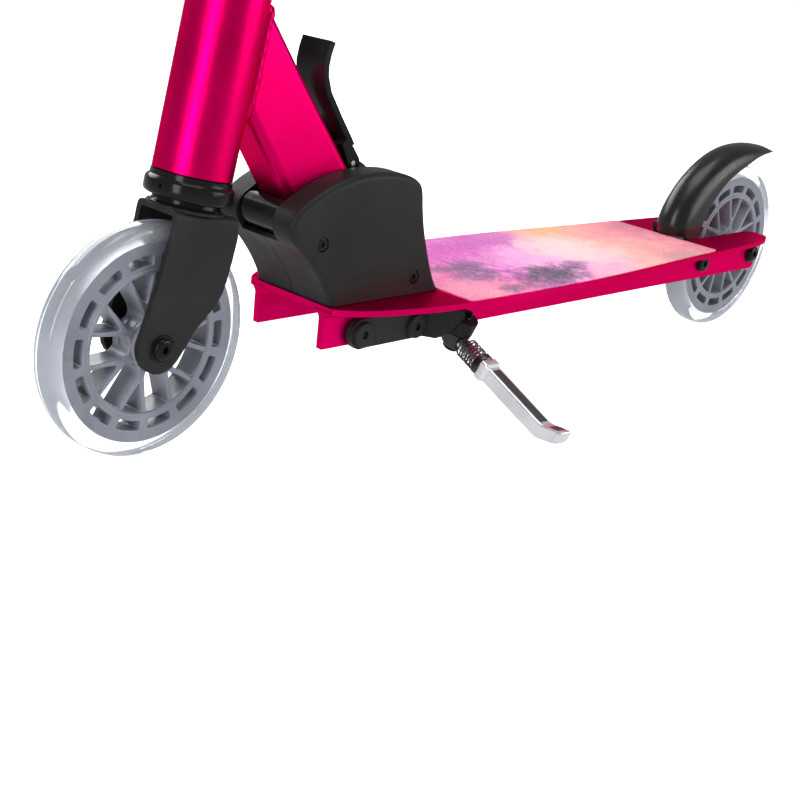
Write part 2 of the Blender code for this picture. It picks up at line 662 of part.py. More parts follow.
# The tube's lower end is cut back so that it swings clear of the covers' front wall.
swing = [(-8, -9.4), (-14, -2.6), (-21, 2.4), (-38.3, 9.6), (-52.4, 13.8), (-66, 17.2),
         (-72, -20), (-12, -26)]
cut(frame, prism("swing", [(PX + a, PZ + b) for a, b in swing], -20, 20, PINK))
PIN_DIR = Vector((cos(radians(PIN_ANGLE)), 0, sin(radians(PIN_ANGLE))))
PIN_SIDE = Vector((-PIN_DIR.z, 0, PIN_DIR.x))
pin_at = Vector((PX, 0, PZ)) + PIN_DIR * PIN_AT
slot_loop = []
for sign, centre in ((1, PIN_AT + 3.2), (-1, PIN_AT)):
    for step in range(5):
        ang = radians(-90 + 45 * step)
        p = Vector((PX, 0, PZ)) + PIN_DIR * (centre + sign * 3.0 * cos(ang)) \
            + PIN_SIDE * (sign * 3.0 * sin(ang))
        slot_loop.append((p.x, p.z))
cut(frame, prism("pin_slot", slot_loop, -20, 20, PINK))
shade(frame)
rod("latch_pin", (pin_at.x, -19.4, pin_at.z), (pin_at.x, 19.4, pin_at.z), PIN_R, STEEL, 14,
    tuple(pin_at))

back = [(524.0, 250.0), (526.2, 243.0), (527.4, 235.4), (526.6, 227.4), (522.4, 217.0),
        (511.0, 201.6), (501.0, 189.0), (497.0, 183.6)]
blade = back + offset_line(back, -4.0)[::-1]
LEVER_O = (LEVER_PIVOT[0], 0.0, LEVER_PIVOT[1])
lever = prism("fold_lever", blade, -LEVER_HALF, LEVER_HALF, GLOSS, origin=LEVER_O)
arm = [(501.6, 189.2), (494.2, 184.0)] \
    + arc(LEVER_PIVOT[0], LEVER_PIVOT[1], 5.4, 150, 300, 7) + [(504.2, 186.0)]
for side in (1, -1):
    union(lever, prism("arm", arm, *sorted((side * 4.7, side * LEVER_HALF)), GLOSS))
cut(lever, rod("hole", (LEVER_PIVOT[0], -15, LEVER_PIVOT[1]),
               (LEVER_PIVOT[0], 15, LEVER_PIVOT[1]), 2.3, GLOSS, 12))
shade(lever, 50)
rod("fold_lever_pin", (LEVER_PIVOT[0], -12.2, LEVER_PIVOT[1]),
    (LEVER_PIVOT[0], 12.2, LEVER_PIVOT[1]), 2.0, STEEL, 12)

# ---- rear axle, fender brake and its spring ----
axle_bolt("rear_axle", REAR_AXLE, FLANGE_Y, FLANGE_T, 8.6, GLOSS)
hex_nut("rear_axle_nut", 0.0, WHEEL_R, -FLANGE_Y, STEEL)
FX, FZ = FENDER_BOLT
lathe("fender_bolt", [(0, -FLANGE_Y - 7), (4.0, -FLANGE_Y - 7), (4.0, FLANGE_Y + GAP),
                      (7.0, FLANGE_Y + GAP), (7.0, FLANGE_Y + 2.4), (5.4, FLANGE_Y + 3.4),
                      (2.6, FLANGE_Y + 3.4), (2.6, FLANGE_Y + 1.4), (0, FLANGE_Y + 1.4)],
      (FX, 0, FZ), (0, 1, 0), GLOSS, 14)
hex_nut("fender_nut", FX, FZ, -FLANGE_Y, STEEL)

CREST = [(91.0, 89.6), (93.0, 98.0), (90.0, 109.0), (83.0, 120.6), (70.0, 134.4),
         (53.0, 146.4), (33.0, 156.0), (12.0, 161.4), (-10.0, 162.8), (-32.0, 160.8),
         (-47.0, 157.0), (-56.5, 153.6)]
EDGE = [(64.0, 89.6), (63.6, 93.0), (61.5, 99.0), (58.0, 106.0), (51.5, 117.0),
        (42.0, 127.4), (31.0, 135.6), (19.0, 141.8), (5.0, 147.4), (-10.0, 152.2),
        (-28.0, 154.8), (-49.0, 154.6)]


def fender_ring(index, inner):
    """Arched cross-section between the side edges and the crest."""
    (cx, cz), (ex, ez) = CREST[index], EDGE[index]
    width = FENDER_HALF * (1.0 if index < 9 else (0.93, 0.78, 0.42)[index - 9])
    dx, dz = cx - ex, cz - ez
    height = sqrt(dx * dx + dz * dz)
    if inner:
        width -= 3.0
        height = max(height - 3.0, 0.6)
    size = sqrt(dx * dx + dz * dz)
    out = []
    for step in range(11):
        t = pi * step / 10
        y = -width * cos(t) if abs(cos(t)) < 0.99 else -width * (1 if cos(t) > 0 else -1)
        rise = height * min(1.0, (sin(t) ** 0.62 if sin(t) > 0 else 0.0))
        out.append((ex + dx / size * rise, y, ez + dz / size * rise))
    return out


sections = []
for index in range(len(CREST)):
    sections.append(fender_ring(index, False) + fender_ring(index, True)[::-1])
FENDER_O = (FX, 0.0, FZ)
fender = loft("fender", sections, BLACK, FENDER_O)
for side in (1, -1):
    ear = [(66.0, 96.0), (86.0, 96.0), (85.0, 90.0), (82.0, 88.4), (82.0, 79.0)]
    ear += arc(FX, FZ, 8.0, 50, -200, 10) + [(66.0, 84.0)]
    union(fender, prism("ear", ear, *sorted((side * 13.0, side * FENDER_HALF)), BLACK))
cut(fender, rod("hole", (FX, -30, FZ), (FX, 30, FZ), 4.3, BLACK, 14))
shade(fender, 50)
spring("fender_spring", (FX, 18.4, FZ), (0, 1, 0), 6.4, 0.8, 3.5, 8.0, STEEL)

# ---- kickstand ----
H = Vector(STAND_PIVOT)
OUTWARD = Vector(STAND_OUT).normalized()
HINGE = OUTWARD.cross(Vector((-1, 0, 0))).normalized()
SIDEWAY = HINGE.cross(OUTWARD)
bar = [(425.0, 57.4), (488.0, 57.0)] + arc(492.6, 66.7, 10.6, -100, 100, 8)[1:] \
    + [(484.0, 77.4), (425.0, 77.4)]
stand = prism("kickstand_bracket", bar, 33.6, 38.8, BLACK)
arm = []
for x, y_low, y_high, z_low, z_high in ((434, 33.6, 38.8, 57.4, 77.4),
                                        (424, 34.4, 43.0, 55.6, 77.0),
                                        (412, 36.0, 51.5, 61.6, 75.5),
                                        (400, 38.5, 53.0, 63.4, 74.5)):
    arm.append([(x, y_low, z_low), (x, y_high, z_low), (x, y_high, z_high),
                (x, y_low, z_high)])
union(stand, loft("arm", arm, BLACK))
# A thin wall runs out from the plate in front of the hinge and hides it.
front = [(433.2, 38.0, 77.0), (417.0, 60.0, 79.0), (418.6, 57.8, 71.0), (425.1, 49.0, 58.5),
         (433.2, 38.0, 57.6)]
union(stand, loft("hood", [front, [(x - 2.4, y - 1.8, z) for x, y, z in front]], BLACK))
union(stand, rod("boss", H + HINGE * 1.2, H + HINGE * 12.0, 9.4, BLACK, 18))
cut(stand, rod("hole", H - HINGE * 20, H + HINGE * 20, 3.4, BLACK, 14),
    rod("under", H + HINGE * 0.9, H - HINGE * 30, 16.0, BLACK, 18))
for x, z in ((492.6, 66.7), (442.0, 66.0)):
    cut(stand, rod("hole", (x, 20, z), (x, 60, z), 4.3, BLACK, 14))
shade(stand)
for index, (x, z) in enumerate(((492.6, 66.7), (442.0, 66.0))):
    lathe("bracket_bolt_%d" % (index + 1),
          [(0, 27.0), (4.0, 27.0), (4.0, 39.1), (8.4, 39.1), (8.4, 41.0), (6.4, 42.6),
           (3.0, 42.6), (3.0, 40.4), (0, 40.4)], (x, 0, z), (0, 1, 0), GLOSS, 18)
lathe("kickstand_pivot_bolt",
      [(0, -14.0), (6.0, -14.0), (6.0, -10.4), (3.1, -10.4), (3.1, 13.6), (0, 13.6)],
      H, HINGE, GLOSS, 14)
STAND_O = tuple(H)
leg = rod("kickstand_leg", H - HINGE * 10.0, H + HINGE * 0.6, 8.8, SILVER, 18, STAND_O)


def bar_section(t, half, lift=0.0, push=0.0):
    mid = H - HINGE * 4.7 + OUTWARD * (t + push) + Vector((0, 0, lift))
    out = []
    for a, b in rounded(half, -half, half, half * 0.28, 1):
        out.append(tuple(mid + SIDEWAY * a + HINGE * b))
    return out


shank = rod("shank", H - HINGE * 4.7 + OUTWARD * 2, H - HINGE * 4.7 + OUTWARD * 36, 4.6,
            SILVER, 14)
cap = rod("cap", H - HINGE * 4.7 + OUTWARD * 27.2, H - HINGE * 4.7 + OUTWARD * 33.0, 8.2,
          SILVER, 18)
bar_low = [bar_section(t, half) for t, half in ((32.5, 7.6), (37.5, 7.6), (40, 6.6),
                                                (90, 6.4))]
tip = []
for t, lift in ((96, 1.2), (103, 4.2), (112, 8.4)):
    tip.append(bar_section(t, 6.2, lift))
union(leg, shank, cap, loft("square", bar_low + tip, SILVER))
cut(leg, rod("hole", H - HINGE * 20, H + HINGE * 20, 3.4, SILVER, 14))
shade(leg)
spring("kickstand_spring", H - HINGE * 4.7 + OUTWARD * 10.6, OUTWARD, 7.0, 0.9, 5.5, 15.4,
       BLACK, STAND_O)
foot = H - HINGE * 4.7 + OUTWARD * 112.4 + Vector((0, 0, 8.4))
foot_in = [tuple(foot + SIDEWAY * a + HINGE * b) for a, b in rounded(6.2, -6.2, 6.2, 1.8, 1)]
foot_out = [tuple(foot + OUTWARD * 5.0 + Vector((0, 0, 2.6)) + SIDEWAY * a + HINGE * b)
            for a, b in rounded(5.4, -5.4, 5.4, 1.8, 1)]
shade(loft("kickstand_foot", [foot_in, foot_out], RUBBER, STAND_O), 50)
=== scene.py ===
"""Looks of a folding kick scooter: clear wheels, pink metallic frame, black hinge covers.

Shapes are given in millimetres measured from the rear axle (x forward, y left, z up) and
are moved into the frame's metres when each piece is made.
"""

import json
from math import asin, cos, degrees, pi, radians, sin, sqrt

import bmesh
import bpy
from mathutils import Matrix, Vector
from mathutils.geometry import delaunay_2d_cdt

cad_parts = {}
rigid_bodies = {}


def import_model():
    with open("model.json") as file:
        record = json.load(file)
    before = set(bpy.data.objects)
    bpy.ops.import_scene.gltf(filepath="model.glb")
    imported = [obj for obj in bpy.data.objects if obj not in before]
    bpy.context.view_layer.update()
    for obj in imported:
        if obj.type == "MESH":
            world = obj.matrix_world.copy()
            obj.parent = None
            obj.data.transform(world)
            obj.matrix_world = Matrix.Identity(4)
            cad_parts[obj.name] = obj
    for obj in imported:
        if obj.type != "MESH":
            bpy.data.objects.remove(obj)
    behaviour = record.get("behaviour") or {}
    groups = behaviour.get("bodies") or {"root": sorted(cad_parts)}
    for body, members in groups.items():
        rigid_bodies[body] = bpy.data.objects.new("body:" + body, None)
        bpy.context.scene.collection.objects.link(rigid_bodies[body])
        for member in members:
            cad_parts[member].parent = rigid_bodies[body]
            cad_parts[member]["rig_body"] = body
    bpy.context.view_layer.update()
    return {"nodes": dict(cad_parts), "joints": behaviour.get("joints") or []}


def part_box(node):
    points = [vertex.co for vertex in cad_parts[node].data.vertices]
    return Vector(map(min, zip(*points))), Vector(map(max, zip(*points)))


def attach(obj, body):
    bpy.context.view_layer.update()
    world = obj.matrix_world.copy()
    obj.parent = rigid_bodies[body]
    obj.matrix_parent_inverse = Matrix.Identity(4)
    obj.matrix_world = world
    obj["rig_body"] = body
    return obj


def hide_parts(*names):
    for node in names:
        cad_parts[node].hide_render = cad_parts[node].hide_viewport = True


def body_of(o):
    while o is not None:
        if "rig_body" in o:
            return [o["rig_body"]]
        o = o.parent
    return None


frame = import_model()
JOINTS = {joint["name"]: joint for joint in frame["joints"]}

# ---- places taken from the frame ----
MM = 0.001
REAR = Vector(JOINTS["rear_wheel_spin"]["pos_m"])
FRONT = Vector(JOINTS["front_wheel_spin"]["pos_m"])
SHIFT = REAR.x / MM
AXLE_Z = REAR.z / MM
WHEELBASE = (FRONT.x - REAR.x) / MM
STEER_AT = Vector(JOINTS["steer"]["pos_m"]) / MM - Vector((SHIFT, 0, 0))
AXIS_S = Vector(JOINTS["steer"]["axis"]).normalized()
AXIS_U = Vector((AXIS_S.z, 0, -AXIS_S.x))
PIVOT = Vector(JOINTS["fold"]["pos_m"]) / MM - Vector((SHIFT, 0, 0))
LEVER_AT = Vector(JOINTS["fold_lever_pull"]["pos_m"]) / MM - Vector((SHIFT, 0, 0))
FENDER_AT = Vector(JOINTS["fender_brake"]["pos_m"]) / MM - Vector((SHIFT, 0, 0))
STAND_AT = Vector(JOINTS["kickstand_fold"]["pos_m"]) / MM - Vector((SHIFT, 0, 0))
HINGE = Vector(JOINTS["kickstand_fold"]["axis"]).normalized()
STEER_S = 99.6

# ---- driving sizes (mm, degrees) ----
WHEEL_R = 72.5
TYRE_HALF = 9.0
CORE_R = 62.2
CORE_HALF = 8.7
SPOKE_HALF = 8.5
PETALS, SLOTS, SLOT_CORNER = 7, 14, 1.4
HEAD_R, HEAD_LOW, HEAD_HIGH = 24.2, 99.6, 220.0
COLUMN_R, TBAR_R, BAR_R = 17.0, 14.2, 11.0
BAR_S, BAR_HALF = 788.0, 200.0
DECK_TOP, DECK_T = 87.5, 4.0
FLANGE_Y, FLANGE_T, FLANGE_LOW = 33.3, 5.0, 58.8
SLOT_HALF, SLOT_FRONT = 17.5, 84.0
TUBE_HALF = 16.0
COVER_Y, COVER_WALL = 36.0, 3.0
FENDER_HALF = 16.8
PIN_R, PIN_AT, PIN_ANGLE = 2.6, 44.0, 158.0
EAR_U = -27.5
OUTWARD = Vector((6.0, 86.0, -36.0)).normalized()
SIDEWAY = HINGE.cross(OUTWARD)
Y = Vector((0, 1, 0))
FLOOR_GLOW = 0.72


def col(u, v, s):
    """Column coordinates (forward, left, up the column) to the scooter's."""
    return STEER_AT + AXIS_U * u + Y * v + AXIS_S * (s - STEER_S)


# ---- Materials ----
class Look:
    """A Principled material built from procedural textures in the part's own coordinates."""

    def __init__(self, name, base, rough, metal=0.0, **sockets):
        self.mat = bpy.data.materials.new(name)
        self.mat.use_nodes = True
        self.tree = self.mat.node_tree
        self.bsdf = self.tree.nodes["Principled BSDF"]
        self.bsdf.inputs["Base Color"].default_value = (*base, 1.0)
        self.bsdf.inputs["Roughness"].default_value = rough
        self.bsdf.inputs["Metallic"].default_value = metal
        for key, value in sockets.items():
            self.bsdf.inputs[key.replace("_", " ")].default_value = value
        self.place = self.node("TexCoord").outputs["Object"]

    def node(self, kind, **values):
        made = self.tree.nodes.new("ShaderNode" + kind)
        for key, value in values.items():
            setattr(made, key, value)
        return made

    def join(self, source, target):
        self.tree.links.new(source, target)

    def stretched(self, scale):
        """The part's coordinates multiplied per axis."""
        mapping = self.node("Mapping")
        mapping.inputs["Scale"].default_value = scale
        self.join(self.place, mapping.inputs["Vector"])
        return mapping.outputs["Vector"]

    def noise(self, scale, detail=3.0, rough=0.5, warp=0.0, at=None):
        made = self.node("TexNoise")
        made.inputs["Scale"].default_value = scale
        made.inputs["Detail"].default_value = detail
        made.inputs["Roughness"].default_value = rough
        made.inputs["Distortion"].default_value = warp
        self.join(at or self.place, made.inputs["Vector"])
        return made.outputs["Fac"]

    def cells(self, scale, feature="F1", output="Distance", at=None):
        made = self.node("TexVoronoi", feature=feature)
        made.inputs["Scale"].default_value = scale
        self.join(at or self.place, made.inputs["Vector"])
        return made.outputs[output]

    def spread(self, value, low, high, to_low=0.0, to_high=1.0):
        """Stretch low..high of a value to another range, clamped."""
        made = self.node("MapRange")
        for key, number in (("From Min", low), ("From Max", high), ("To Min", to_low),
                            ("To Max", to_high)):
            made.inputs[key].default_value = number
        self.join(value, made.inputs["Value"])
        return made.outputs["Result"]

    def ramp(self, value, stops):
        made = self.node("ValToRGB")
        points = made.color_ramp.elements
        while len(points) < len(stops):
            points.new(0.5)
        for point, (position, colour) in zip(points, stops):
            point.position = position
            point.color = (*colour, 1.0)
        self.join(value, made.inputs["Fac"])
        return made.outputs["Color"]

    def mix(self, factor, a, b, blend="MIX"):
        made = self.node("Mix", data_type="RGBA", blend_type=blend)
        for socket, value in ((made.inputs[0], factor), (made.inputs[6], a),
                              (made.inputs[7], b)):
            if isinstance(value, bpy.types.NodeSocket):
                self.join(value, socket)
            elif isinstance(value, tuple):
                socket.default_value = (*value, 1.0)
            else:
                socket.default_value = value
        return made.outputs[2]

    def math(self, operation, a, b):
        made = self.node("Math", operation=operation)
        for socket, value in zip(made.inputs, (a, b)):
            if isinstance(value, bpy.types.NodeSocket):
                self.join(value, socket)
            else:
                socket.default_value = value
        return made.outputs[0]

    def axis(self, index):
        made = self.node("SeparateXYZ")
        self.join(self.place, made.inputs[0])
        return made.outputs[index]

    def colour(self, socket):
        self.join(socket, self.bsdf.inputs["Base Color"])

    def rough(self, socket):
        self.join(socket, self.bsdf.inputs["Roughness"])

    def bump(self, *layers):
        """Bump layers of (height, depth in metres)."""
        normal = None
        for height, depth in layers:
            made = self.node("Bump")
            made.inputs["Strength"].default_value = 1.0
            made.inputs["Distance"].default_value = depth
            self.join(height, made.inputs["Height"])
            if normal:
                self.join(normal, made.inputs["Normal"])
            normal = made.outputs["Normal"]
        self.join(normal, self.bsdf.inputs["Normal"])


def metallic_pink(name, deep, bright):
    """Satin metallic paint with fine flakes."""
    look = Look(name, bright, 0.3, 0.98, Specular_Tint=(1.0, 0.08, 0.4, 1.0))
    drift = look.noise(9.0, 2.0)
    body = look.ramp(drift, [(0.3, deep), (0.7, bright)])
    flakes = look.spread(look.cells(5200.0, output="Distance"), 0.05, 0.5)
    # Flake spots are tinted toward the bright magenta of a highlight: painted glints on the real
    # flakes.
    painted_flake_glints = look.mix(look.spread(flakes, 0.0, 0.35, 0.12, 0.0), body, (1.0, 0.03, 0.5))
    look.colour(painted_flake_glints)
    look.rough(look.spread(look.noise(55.0, 4.0), 0.3, 0.7, 0.31, 0.38))
    look.bump((look.noise(420.0, 2.0), 0.00003), (look.cells(4200.0), 0.00001))
    return look.mat


def moulded_black(name, shade, low, high, grain=0.00004, scale=1500.0, gloss=0.1):
    """Moulded or powder-coated black with a fine grain and faint handling marks."""
    look = Look(name, (shade,) * 3, low, Specular_IOR_Level=gloss)
    drift = look.noise(14.0, 4.0, 0.6)
    look.colour(look.ramp(drift, [(0.3, (shade * 0.8,) * 3), (0.7, (shade * 1.25,) * 3)]))
    look.rough(look.spread(look.noise(38.0, 6.0, 0.65), 0.3, 0.7, low, high))
    look.bump((look.cells(scale), grain), (look.noise(scale * 1.7, 2.0), grain * 0.6))
    return look.mat


def gloss_black(name):
    look = Look(name, (0.003, 0.003, 0.0035), 0.12, Specular_IOR_Level=0.14)
    look.colour(look.ramp(look.noise(20.0, 3.0), [(0.3, (0.003,) * 3), (0.7, (0.008,) * 3)]))
    look.rough(look.spread(look.noise(45.0, 5.0, 0.6), 0.35, 0.7, 0.14, 0.22))
    look.bump((look.noise(260.0, 2.0), 0.00004))
    return look.mat


def bare_metal(name, shade, low, high, brush=(60.0, 60.0, 60.0), speck=0.0):
    """Steel or aluminium with a drawn or cast surface."""
    look = Look(name, shade, low, 1.0)
    dark = tuple(c * 0.72 for c in shade)
    look.colour(look.ramp(look.noise(22.0, 5.0, 0.6), [(0.25, dark), (0.6, shade)]))
    lines = look.noise(9.0, 4.0, 0.6, at=look.stretched(brush))
    look.rough(look.spread(lines, 0.3, 0.7, low, high))
    if speck:
        look.bump((lines, 0.00002), (look.noise(1500.0, 3.0, 0.7), speck))
    else:
        look.bump((lines, 0.00002))
    return look.mat


def wheel_plastic():
    """Grey-violet moulded core with slightly paler edges of flow."""
    look = Look("core_plastic", (0.15, 0.155, 0.19), 0.32, Subsurface_Weight=0.1,
                Subsurface_Scale=0.003, Coat_Weight=0.12, Coat_Roughness=0.2)
    look.bsdf.inputs["Subsurface Radius"].default_value = (0.8, 0.8, 1.0)
    flow = look.noise(26.0, 4.0, 0.55, 0.6)
    look.colour(look.ramp(flow, [(0.3, (0.115, 0.125, 0.155)), (0.7, (0.17, 0.18, 0.22))]))
    look.rough(look.spread(look.noise(70.0, 4.0), 0.3, 0.7, 0.26, 0.42))
    look.bump((look.noise(900.0, 2.0), 0.00003))
    return look.mat


def clear_tyre():
    """Clear polyurethane with a very slight blue cast and fine mould marks."""
    look = Look("clear_tyre", (0.86, 0.90, 0.96), 0.05, Transmission_Weight=0.82, IOR=1.42)
    look.colour(look.ramp(look.noise(18.0, 3.0),
                          [(0.3, (0.83, 0.875, 0.95)), (0.7, (0.89, 0.93, 0.98))]))
    look.rough(look.spread(look.noise(60.0, 5.0, 0.6), 0.35, 0.75, 0.06, 0.16))
    look.bump((look.noise(70.0, 2.0), 0.00012), (look.noise(600.0, 2.0), 0.00001))
    return look.mat


def black_rubber():
    look = Look("grip_rubber", (0.018, 0.018, 0.019), 0.7)
    look.colour(look.ramp(look.noise(30.0, 5.0), [(0.3, (0.013,) * 3), (0.7, (0.026,) * 3)]))
    look.rough(look.spread(look.noise(50.0, 5.0, 0.65), 0.3, 0.7, 0.6, 0.82))
    look.bump((look.cells(900.0), 0.00009), (look.noise(2200.0, 2.0), 0.00004))
    return look.mat


def nebula_tape():
    """Sandpaper grip tape printed with a soft nebula: purple and pink in front, peach behind."""
    look = Look("nebula_tape", (0.7, 0.3, 0.45), 0.75)
    low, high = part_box("grip_tape")
    along = look.spread(look.axis(0), high.x, low.x)
    across = look.spread(look.axis(1), low.y, high.y)
    drift = look.noise(13.0, 5.0, 0.62, 0.8)
    cloud = look.noise(34.0, 6.0, 0.68, 1.2)
    wave = look.math("ADD", along, look.spread(drift, 0.3, 0.7, -0.13, 0.13))
    base = look.ramp(wave, [
        (0.00, (0.82, 0.17, 0.40)), (0.13, (0.80, 0.15, 0.48)), (0.27, (0.70, 0.12, 0.54)),
        (0.42, (0.84, 0.28, 0.62)), (0.56, (0.94, 0.44, 0.55)), (0.72, (0.94, 0.40, 0.34)),
        (0.86, (0.86, 0.28, 0.29)), (1.00, (0.66, 0.17, 0.26))])

    def blob(x, y, width, height, sharp, wobble, turn=0.0):
        """Soft spot centred at a share of the tape's length and width."""
        c, s = cos(radians(turn)), sin(radians(turn))
        dx = look.math("ADD", look.math("SUBTRACT", along, x),
                       look.spread(drift, 0.3, 0.7, -wobble, wobble))
        dy = look.math("ADD", look.math("MULTIPLY", look.math("SUBTRACT", across, y), 0.4),
                       look.spread(cloud, 0.3, 0.7, -wobble * 0.55, wobble * 0.55))
        p = look.math("ADD", look.math("MULTIPLY", dx, c / width),
                      look.math("MULTIPLY", dy, s / width))
        q = look.math("SUBTRACT", look.math("MULTIPLY", dy, c / height),
                      look.math("MULTIPLY", dx, s / height))
        r2 = look.math("ADD", look.math("MULTIPLY", p, p), look.math("MULTIPLY", q, q))
        return look.spread(r2, sharp, 1.0, 1.0, 0.0)

    painted = base
    for centre, size, strength, colour in (
            (((0.12, 0.92), (0.16, 0.10)), (0.0, 0.07, 20), 0.75, (0.90, 0.30, 0.33)),
            (((0.42, 0.16), (0.20, 0.10)), (0.0, 0.08, -8), 0.85, (0.52, 0.08, 0.42)),
            (((0.24, 0.20), (0.15, 0.08)), (0.0, 0.08, 10), 0.8, (0.62, 0.08, 0.46)),
            (((0.44, 0.56), (0.20, 0.13)), (0.0, 0.06, 12), 0.85, (0.95, 0.40, 0.70)),
            (((0.60, 0.46), (0.15, 0.16)), (0.0, 0.06, 0), 0.8, (1.00, 0.66, 0.62)),
            (((0.68, 0.10), (0.15, 0.07)), (0.0, 0.05, 0), 0.85, (0.93, 0.42, 0.16)),
            (((0.86, 0.92), (0.13, 0.07)), (0.0, 0.05, 0), 0.8, (0.47, 0.26, 0.26)),
            (((0.17, 0.58), (0.14, 0.075)), (0.05, 0.09, -16), 0.9, (0.16, 0.07, 0.18)),
            (((0.33, 0.84), (0.19, 0.075)), (0.05, 0.09, -12), 0.97, (0.075, 0.045, 0.095))):
        (x, y), (width, height) = centre
        sharp, wobble, turn = size
        spot = blob(x, y, width, height, sharp, wobble, turn)
        painted = look.mix(look.math("MULTIPLY", spot, strength), painted, colour)
    wisps = look.spread(look.noise(75.0, 7.0, 0.72, 1.6), 0.52, 0.8, 0.0, 0.5)
    painted = look.mix(wisps, painted, (1.0, 0.66, 0.82))
    shadows = look.spread(look.noise(58.0, 6.0, 0.7, 1.0), 0.5, 0.25, 0.0, 0.35)
    painted = look.mix(shadows, painted, (0.42, 0.10, 0.27))
    stars = look.spread(look.cells(150.0), 0.05, 0.13, 0.85, 0.0)
    chosen = look.spread(look.noise(60.0, 2.0), 0.55, 0.62)
    painted = look.mix(look.math("MULTIPLY", stars, chosen), painted, (1.0, 0.93, 0.95))
    grit = look.cells(2100.0, output="Color")
    tone = look.node("RGBToBW")
    look.join(grit, tone.inputs[0])
    speckled = look.mix(look.spread(tone.outputs[0], 0.12, 0.3, 0.28, 0.0), painted,
                        (0.05, 0.03, 0.06))
    speckled = look.mix(look.spread(tone.outputs[0], 0.74, 0.9, 0.0, 0.4), speckled,
                        (1.0, 0.9, 0.95))
    look.colour(speckled)
    look.rough(look.spread(tone.outputs[0], 0.0, 1.0, 0.5, 0.9))
    look.bump((look.cells(1500.0), 0.00022), (look.noise(2600.0, 3.0), 0.00012))
    return look.mat


def pale_floor():
    look = Look("pale_floor", (0.93, 0.93, 0.93), 0.6)
    look.colour(look.ramp(look.noise(3.0, 3.0), [(0.3, (0.92,) * 3), (0.7, (0.94,) * 3)]))
    look.bsdf.inputs["Emission Color"].default_value = (1.0, 1.0, 1.0, 1.0)
    look.bsdf.inputs["Emission Strength"].default_value = FLOOR_GLOW
    return look.mat


PINK = metallic_pink("pink_metallic", (0.66, 0.0, 0.095), (0.78, 0.0, 0.13))
COVER = moulded_black("cover_plastic", 0.013, 0.36, 0.5)
FORK = moulded_black("powder_coat", 0.014, 0.4, 0.54, 0.00003, 2200.0)
FENDER = moulded_black("fender_plastic", 0.008, 0.22, 0.34, 0.00002, 1900.0, gloss=0.3)
GLOSS = gloss_black("gloss_black")
STEEL = bare_metal("zinc_steel", (0.56, 0.57, 0.59), 0.2, 0.38)
SILVER = bare_metal("silver_tube", (0.80, 0.81, 0.83), 0.18, 0.3, (300.0, 300.0, 8.0))
CAST = bare_metal("cast_aluminium", (0.93, 0.93, 0.96), 0.3, 0.45, speck=0.00003)
CAST_FACE = bare_metal("cast_face", (0.11, 0.115, 0.125), 0.35, 0.55, speck=0.00012)
SPRING = bare_metal("black_spring", (0.06, 0.06, 0.065), 0.25, 0.4)
CORE = wheel_plastic()
TYRE = clear_tyre()
RUBBER = black_rubber()
TAPE = nebula_tape()


# ---- Mesh helpers ----
def make(name, points, faces, look, sharp=32.0):
    """A mesh from millimetre points, shaded smooth except at edges sharper than given."""
    mesh = bpy.data.meshes.new(name)
    mesh.from_pydata([(Vector(p) + Vector((SHIFT, 0, 0))) * MM for p in points], [], faces)
    mesh.update()
    if signed_volume(mesh) < 0:
        mesh.flip_normals()
    obj = bpy.data.objects.new(name, mesh)
    bpy.context.scene.collection.objects.link(obj)
    mesh.materials.append(look)
    return shade(obj, sharp)


def signed_volume(mesh):
    total = 0.0
    for poly in mesh.polygons:
        ids = list(poly.vertices)
        a = mesh.vertices[ids[0]].co
        for i in range(1, len(ids) - 1):
            total += a.dot(mesh.vertices[ids[i]].co.cross(mesh.vertices[ids[i + 1]].co))
    return total


def shade(obj, limit=32.0):
    for poly in obj.data.polygons:
        poly.use_smooth = True
    obj.data.set_sharp_from_angle(angle=radians(limit))
    return obj


def put(obj, body, slot, *stands):
    """Ride on a body and stand for the CAD nodes given; the slot is not used."""
    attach(obj, body)
    if stands:
        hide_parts(*stands)
    return obj


def soften(obj, width, steps=2, limit=32.0):
    """Round the edges sharper than the limit by a width in millimetres."""
    mod = obj.modifiers.new("soft_edges", "BEVEL")
    mod.width = width * MM
    mod.segments = steps
    mod.limit_method = "ANGLE"
    mod.angle_limit = radians(limit)
    return weigh(obj)


def weigh(obj):
    """Keep flat faces flat beside rounded ones."""
    mod = obj.modifiers.new("face_normals", "WEIGHTED_NORMAL")
    mod.keep_sharp = True
    mod.weight = 60
    return obj


def combine(obj, others, operation):
    for other in others:
        bpy.context.view_layer.update()
        mod = obj.modifiers.new("join", "BOOLEAN")
        mod.operation = operation
        mod.solver = "EXACT"
        mod.object = other
        graph = bpy.context.evaluated_depsgraph_get()
        done = bpy.data.meshes.new_from_object(obj.evaluated_get(graph))
        obj.modifiers.clear()
        obj.data = done
        while len(done.materials) > 1:
            done.materials.pop()
        for poly in done.polygons:
            poly.material_index = 0
        bpy.data.objects.remove(other, do_unlink=True)
    return obj


def union(obj, *others):
    return combine(obj, others, "UNION")


def cut(obj, *others):
    return combine(obj, others, "DIFFERENCE")


def finer(node, look, bevel=0.4, steps=2, limit=32.0, name=None):
    """The CAD node's own shape with its edges rounded."""
    body = body_of(frame["nodes"][node])[0]
    mesh = frame["nodes"][node].data.copy()
    work = bmesh.new()
    work.from_mesh(mesh)
    bmesh.ops.remove_doubles(work, verts=work.verts, dist=2e-6)
    bmesh.ops.dissolve_limit(work, angle_limit=radians(0.6), verts=work.verts,
                             edges=work.edges)
    work.to_mesh(mesh)
    work.free()
    mesh.name = name or node + "_piece"
    for layer in list(mesh.uv_layers):
        mesh.uv_layers.remove(layer)
    mesh.materials.clear()
    mesh.materials.append(look)
    obj = bpy.data.objects.new(name or node + "_piece", mesh)
    bpy.context.scene.collection.objects.link(obj)
    soften(shade(obj, limit), bevel, steps, limit)
    return put(obj, body, node, node)


